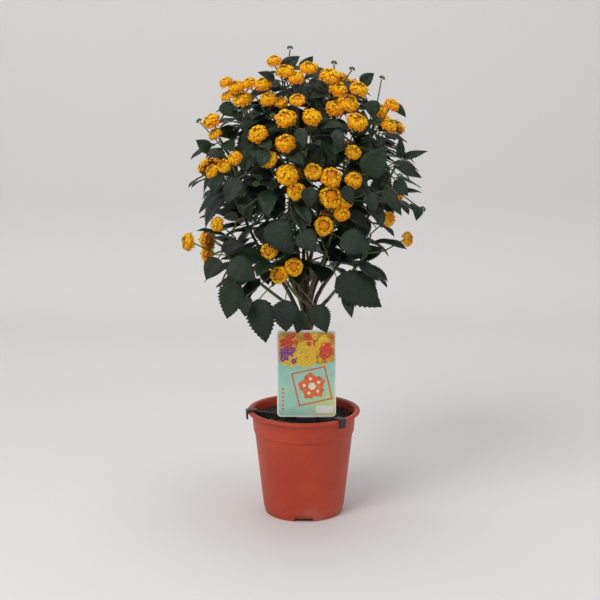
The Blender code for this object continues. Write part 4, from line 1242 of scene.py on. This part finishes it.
def make_soil():
    """The peat in the pot, uneven on top, with lumps, fibres and a fallen floret."""
    draw = random.Random(5)
    skin = Skin()
    rows, sides = 34, 110
    rings = [(7.2 + (75.2 - 7.2) * i / (rows - 1), None) for i in range(rows)]
    rings += [(73.4, 140.0), (58.5, 16.0), (20.0, 9.8)]
    points = []
    for r, z in rings:
        for k in range(sides):
            a = 2 * math.pi * k / sides
            x, y = r * math.cos(a), r * math.sin(a)
            points.append((x, y, soil_height(x, y) if z is None else z))
    faces = [f[::-1] for f in grid_faces(len(rings), sides, True)]
    faces += [tuple(range(len(points) - 1, len(points) - sides - 1, -1)), tuple(range(sides))]
    skin.add(points, faces)
    lump, lump_faces = crumb_template()
    for _ in range(420):
        x, y, a = scattered(draw, 10.0, 62.0)
        size = draw.choice((1.0, 1.3, 1.6, 2.2, 3.0))
        way = Vector((draw.uniform(-1, 1), draw.uniform(-1, 1), 1.2)).normalized()
        place = Vector((x, y, soil_height(x, y) + size * 0.2))
        bent = np.array([p * (1 + draw.uniform(-0.3, 0.3)) for p in lump])
        set_piece(skin, (bent, lump_faces), place, way, size, a * 3)
    for i in range(60):
        x, y, _ = scattered(draw, 14.0, 56.0)
        long = draw.uniform(5.0, 15.0)
        turn = draw.uniform(0, 6.28)
        line = []
        for t in (-0.5, 0.0, 0.5):
            px = x + math.cos(turn) * long * t
            py = y + math.sin(turn) * long * t + draw.uniform(-1, 1)
            line.append((px, py, soil_height(px, py) + 0.6 + draw.uniform(0, 1.0)))
        if max(math.hypot(p[0], p[1]) for p in line) < 73.0:
            rod(skin, line, [0.25, 0.3, 0.2], 4, PLAIN, 1 if i % 3 == 0 else 0)
    x, y = -44.0, -52.0
    way = Vector((0.2, -0.5, 0.84)).normalized()
    set_piece(skin, FLORET, Vector((x, y, soil_height(x, y) + 1.4)), way, 3.2, 0.4, (0.1, -0.5, 0), 2, 1.2)
    petal = print_material("petal", (0.85, 0.42, 0.03), (0.80, 0.30, 0.02))
    soil = skin.build("soil_fine", [peat_material(), straw_material(), petal])
    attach(soil, "root")
    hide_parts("soil")


def scattered(draw, inner, spread):
    """A drawn place on the peat, with its turn about the axis."""
    r = inner + spread * math.sqrt(draw.random())
    a = draw.uniform(0, 6.28)
    return r * math.cos(a), r * math.sin(a), a


def crumb_template():
    """A lump of twelve points and twenty faces."""
    g = (1 + math.sqrt(5)) / 2
    points = [(-1, g, 0), (1, g, 0), (-1, -g, 0), (1, -g, 0), (0, -1, g), (0, 1, g)]
    points += [(0, -1, -g), (0, 1, -g), (g, 0, -1), (g, 0, 1), (-g, 0, -1), (-g, 0, 1)]
    faces = [(0, 11, 5), (0, 5, 1), (0, 1, 7), (0, 7, 10), (0, 10, 11), (1, 5, 9), (5, 11, 4), (11, 10, 2)]
    faces += [(10, 7, 6), (7, 1, 8), (3, 9, 4), (3, 4, 2), (3, 2, 6), (3, 6, 8), (3, 8, 9), (4, 9, 5)]
    faces += [(2, 4, 11), (6, 2, 10), (8, 6, 7), (9, 8, 1)]
    return np.array(points) / 1.9, faces


def make_wood(plant):
    """The trunk and its branches under rough bark."""
    skin = Skin()
    rod(skin, TRUNK, [6.0, 6.0, 5.8, 5.4, 4.9, 3.5], 20, rough=0.10)
    for line in plant.branches:
        rod(skin, line, [3.5, 3.1, 2.7], 12, rough=0.10)
    wood = skin.build("wood_fine", [bark_material()])
    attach(wood, "root")
    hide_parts("trunk")


def make_shoots(plant):
    """Each leafy shoot: its stem, stalks, leaves and heads of buds."""
    draw = random.Random(11)
    leaf, stem = leaf_material(), stem_material()
    for name, path in SHOOTS.items():
        skin = Skin()
        rod(skin, smooth_line(path, 6), [2.5 - 0.9 * i / 6 for i in range(7)], 10, (0.5, 0.2, 0), 1)
        for owner, a, b, r in plant.stalks:
            if owner == name:
                side, up = frame_on(b - a)
                bow = side * draw.uniform(-1.0, 1.0) + up * draw.uniform(-1.0, 1.0)
                line = [a, a.lerp(b, 0.5) + bow, b]
                rod(skin, line, [r * 1.05, r * 0.95, r * 0.9], 7, (0.5, 0.3, 0), 1)
        for owner, one in plant.leaves:
            if owner == name:
                fine_leaf(skin, one, draw)
        for owner, head in plant.buds:
            if owner == name:
                fine_bud_head(skin, head, draw)
        shoot = skin.build(name + "_fine", [leaf, stem])
        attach(shoot, "root")
        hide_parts(name)


def make_heads(plant):
    """The groups of flower heads; the low ones are younger and yellower."""
    draw = random.Random(23)
    bloom = bloom_material()
    for name, heads in plant.groups:
        skin = Skin()
        for head in heads:
            green = head.centre.z < 440.0 or draw.random() < 0.22
            fine_head(skin, head, draw, draw.uniform(*((0.6, 1.0) if green else (0.0, 0.35))))
        piece = skin.build(name + "_fine", [bloom])
        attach(piece, "root")
        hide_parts(name)


def card_outline(w, h, r, sides=6):
    """A rectangle with round corners: half width, height and corner radius."""
    out = []
    for cx, cz, start in ((w - r, r, -90), (w - r, h - r, 0), (-w + r, h - r, 90), (-w + r, r, 180)):
        for k in range(sides + 1):
            a = math.radians(start + 90.0 * k / sides)
            out.append((cx + r * math.cos(a), cz + r * math.sin(a)))
    return out


def flat_piece(skin, outline, front, kind=0, back=-48.45):
    """A flat shape between two depths, from (x, z) on the card."""
    n = len(outline)
    points = [(LABEL_MID + x, y, LABEL_FOOT + z) for y in (front, back) for x, z in outline]
    faces = [tuple(range(n)), tuple(range(2 * n - 1, n - 1, -1))]
    faces += [(k, n + k, n + (k + 1) % n, (k + 1) % n) for k in range(n)]
    skin.add(points, faces, PLAIN, kind)


def blossom(cx, cz, r, lobes, turn):
    """The outline of a printed blossom."""
    out = []
    for k in range(lobes * 5):
        a = turn + 2 * math.pi * k / (lobes * 5)
        reach = r * (0.68 + 0.32 * abs(math.cos(lobes * (a - turn) / 2)) ** 0.7)
        out.append((cx + reach * math.cos(a), cz + reach * math.sin(a)))
    return out


def slanted(x, z):
    """A place in the card's slanted frame, from its middle."""
    tilt = math.radians(13.0)
    return (8.0 + x * math.cos(tilt) - z * math.sin(tilt), 47.0 + x * math.sin(tilt) + z * math.cos(tilt))


def make_label():
    """The card with a generic printed garden picture, plain panel and border."""
    skin = Skin()
    w, h = 43.5, 132.0
    body = [(10.0, -6.0), (10.0, 0.0)] + card_outline(w, h, 6.0) + [(-10.0, 0.0), (-10.0, -6.0)]
    flat_piece(skin, body, CARD_FACE, 0, -47.6)
    inner = card_outline(w - 2.0, h - 4.0, 4.5)
    flat_piece(skin, [(x, z + 2.0) for x, z in inner], -48.45, 1, CARD_FACE)
    draw = random.Random(9)
    band = [(-41.0, 84.0), (-20.0, 79.0), (0.0, 86.0), (20.0, 80.0), (41.0, 85.0)]
    band += [(41.3, 123.0), (38.0, 128.6), (-38.0, 128.6), (-41.3, 123.0)]
    flat_piece(skin, band, -48.50, 2)
    # Drifts of printed blossoms: middle, ink and number.
    drifts = [(-27, 112, 3, 34), (-31, 93, 4, 34), (2, 103, 5, 48), (30, 103, 3, 44), (-10, 90, 5, 30)]
    drifts += [(20, 119, 5, 20), (-24, 84, 5, 16), (12, 86, 5, 22), (6, 122, 3, 14)]
    for cx, cz, kind, many in drifts:
        for _ in range(many):
            x = cx + draw.gauss(0, 6.5)
            z = cz + draw.gauss(0, 6.0)
            r = draw.uniform(2.6, 4.4)
            if abs(x) > 38.0 or not 79.0 <= z <= 125.0:
                continue
            layer = -48.52 - draw.random() * 0.10
            flat_piece(skin, blossom(x, z, r, 5, draw.uniform(0, 6)), layer, kind, -48.5)
            flat_piece(skin, blossom(x, z, r * 0.28, 5, 0.3), layer - 0.02, 6, -48.5)
    bar = [(-26.0, -26.0), (26.0, -26.0), (24.0, -23.6), (-24.0, -23.6)]
    for _ in range(4):
        flat_piece(skin, [slanted(x, z) for x, z in bar], -48.53, 7)
        bar = [(-z, x) for x, z in bar]
    for k in range(5):
        a = 2 * math.pi * k / 5 + 0.3
        x, z = slanted(11.5 * math.cos(a), 11.5 * math.sin(a))
        flat_piece(skin, blossom(x, z, 9.6, 5, a), -48.52 - 0.006 * k, 7)
        flat_piece(skin, blossom(x, z, 2.6, 5, a), -48.58, 8)
    flat_piece(skin, blossom(*slanted(0.0, 0.0), 6.0, 6, 0.1), -48.60, 8)
    for k in range(6):
        z = 12.0 + 6.2 * k
        flat_piece(skin, [(-37.0, z), (-34.8, z - 2.4), (-32.6, z), (-34.8, z + 2.4)], -48.52, 7)
    flat_piece(skin, [(14.0, 5.5), (39.0, 5.5), (39.0, 17.0), (14.0, 17.0)], -48.62)
    inks = [print_material("card_white", (0.78, 0.78, 0.75), (0.84, 0.84, 0.82)), card_ground()]
    for name, colour, other, scale in (
        ("ink_garden", (0.80, 0.40, 0.02), (0.40, 0.22, 0.03), 130.0),
        ("ink_red", (0.62, 0.020, 0.018), (0.76, 0.060, 0.028), 200.0),
        ("ink_purple", (0.16, 0.030, 0.260), (0.28, 0.060, 0.380), 200.0),
        ("ink_yellow", (0.86, 0.50, 0.010), (0.90, 0.66, 0.040), 200.0),
        ("ink_heart", (0.85, 0.30, 0.030), (0.70, 0.18, 0.020), 200.0),
        ("ink_orange", (0.74, 0.120, 0.030), (0.80, 0.190, 0.055), 120.0),
        ("ink_cream", (0.80, 0.80, 0.56), (0.84, 0.84, 0.66), 120.0),
    ):
        inks.append(print_material(name, colour, other, scale))
    label = skin.build("label_fine", inks, False)
    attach(label, "root")
    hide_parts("label")


def card_ground():
    """Mint paper that turns yellow-green towards one corner."""
    s = Shade("card_ground")
    x, _, z = s.split(s.place())
    share = s.times(s.minus(1.0, s.ramp(z, 0.165, 0.225)), s.ramp(x, -0.01, 0.045))
    base = s.mix(s.ramp(s.noise(70.0, 4.0), 0.35, 0.65), (0.32, 0.62, 0.50), (0.37, 0.66, 0.54))
    colour = s.mix(share, base, (0.60, 0.72, 0.22))
    s.bump(s.noise(1500.0, 2.0), 0.06, 0.0002)
    return s.finish(colour, 0.30)


def make_holder():
    """The holder keeps the solid's own shape under a satin black plastic."""
    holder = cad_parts["label_holder"]
    holder.data.materials.clear()
    holder.data.materials.append(black_material())


def make_stage():
    """A pale floor that curves up into a backdrop."""
    mesh = bpy.data.meshes.new("floor")
    reach, back, radius = 4.0, 1.5, 0.25
    rows = [(-reach, 0.0)]
    for k in range(9):
        a = math.pi / 2 * k / 8
        rows.append((back - radius + radius * math.sin(a), radius - radius * math.cos(a)))
    rows.append((back, 3.5))
    points = [(x, y, z) for y, z in rows for x in (-reach, reach)]
    faces = [(2 * i, 2 * i + 1, 2 * i + 3, 2 * i + 2) for i in range(len(rows) - 1)]
    mesh.from_pydata(points, [], faces)
    mesh.polygons.foreach_set("use_smooth", [True] * len(faces))
    floor = bpy.data.objects.new("floor", mesh)
    bpy.context.scene.collection.objects.link(floor)
    s = Shade("floor")
    colour = s.mix(s.noise(3.0, 3.0), (0.70, 0.688, 0.680), (0.72, 0.708, 0.700))
    mesh.materials.append(s.finish(colour, 0.75))


def lamp(name, place, target, size, power, colour=(1.0, 1.0, 1.0)):
    """A soft square light that looks at a point."""
    light = bpy.data.lights.new(name, "AREA")
    light.shape = "SQUARE"
    light.size = size
    light.energy = power * GLOW
    light.color = colour
    obj = bpy.data.objects.new(name, light)
    obj.location = place
    obj.rotation_euler = (Vector(target) - Vector(place)).to_track_quat("-Z", "Y").to_euler()
    bpy.context.scene.collection.objects.link(obj)


def make_lights():
    """An even world and three soft lamps."""
    bpy.context.scene.view_settings.view_transform = "Standard"
    world = bpy.data.worlds.new("studio")
    world.use_nodes = True
    sky = world.node_tree.nodes["Background"].inputs
    sky[0].default_value = (1.0, 1.0, 1.0, 1.0)
    sky[1].default_value = 0.62 * GLOW
    bpy.context.scene.world = world
    lamp("key", (-1.3, -1.9, 2.6), (0.0, 0.0, 0.35), 1.4, 78.0, (1.0, 0.985, 0.96))
    lamp("fill", (1.9, -1.6, 1.6), (0.0, 0.0, 0.35), 2.0, 14.0, (0.96, 0.98, 1.0))
    lamp("top", (0.0, 0.2, 2.8), (0.0, 0.0, 0.3), 1.6, 30.0)


def make_camera():
    """The camera that the front view is measured from."""
    data = bpy.data.cameras.new("camera")
    data.sensor_width = 36.0
    data.lens = 36.0 * REACH / 600.0
    camera = bpy.data.objects.new("camera", data)
    camera.location = (EYE_SIDE * MM, -EYE_BACK * MM, EYE_UP * MM)
    camera.rotation_euler = (math.pi / 2 - DIP, 0.0, 0.0)
    bpy.context.scene.collection.objects.link(camera)
    bpy.context.scene.camera = camera


BLADE = blade_template()
FLORET = floret_template()
BUD = bud_template()


def main():
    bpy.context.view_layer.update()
    plant = grow_plant()
    make_pot()
    make_soil()
    make_holder()
    make_label()
    make_wood(plant)
    make_shoots(plant)
    make_heads(plant)
    make_stage()
    make_lights()
    make_camera()


main()
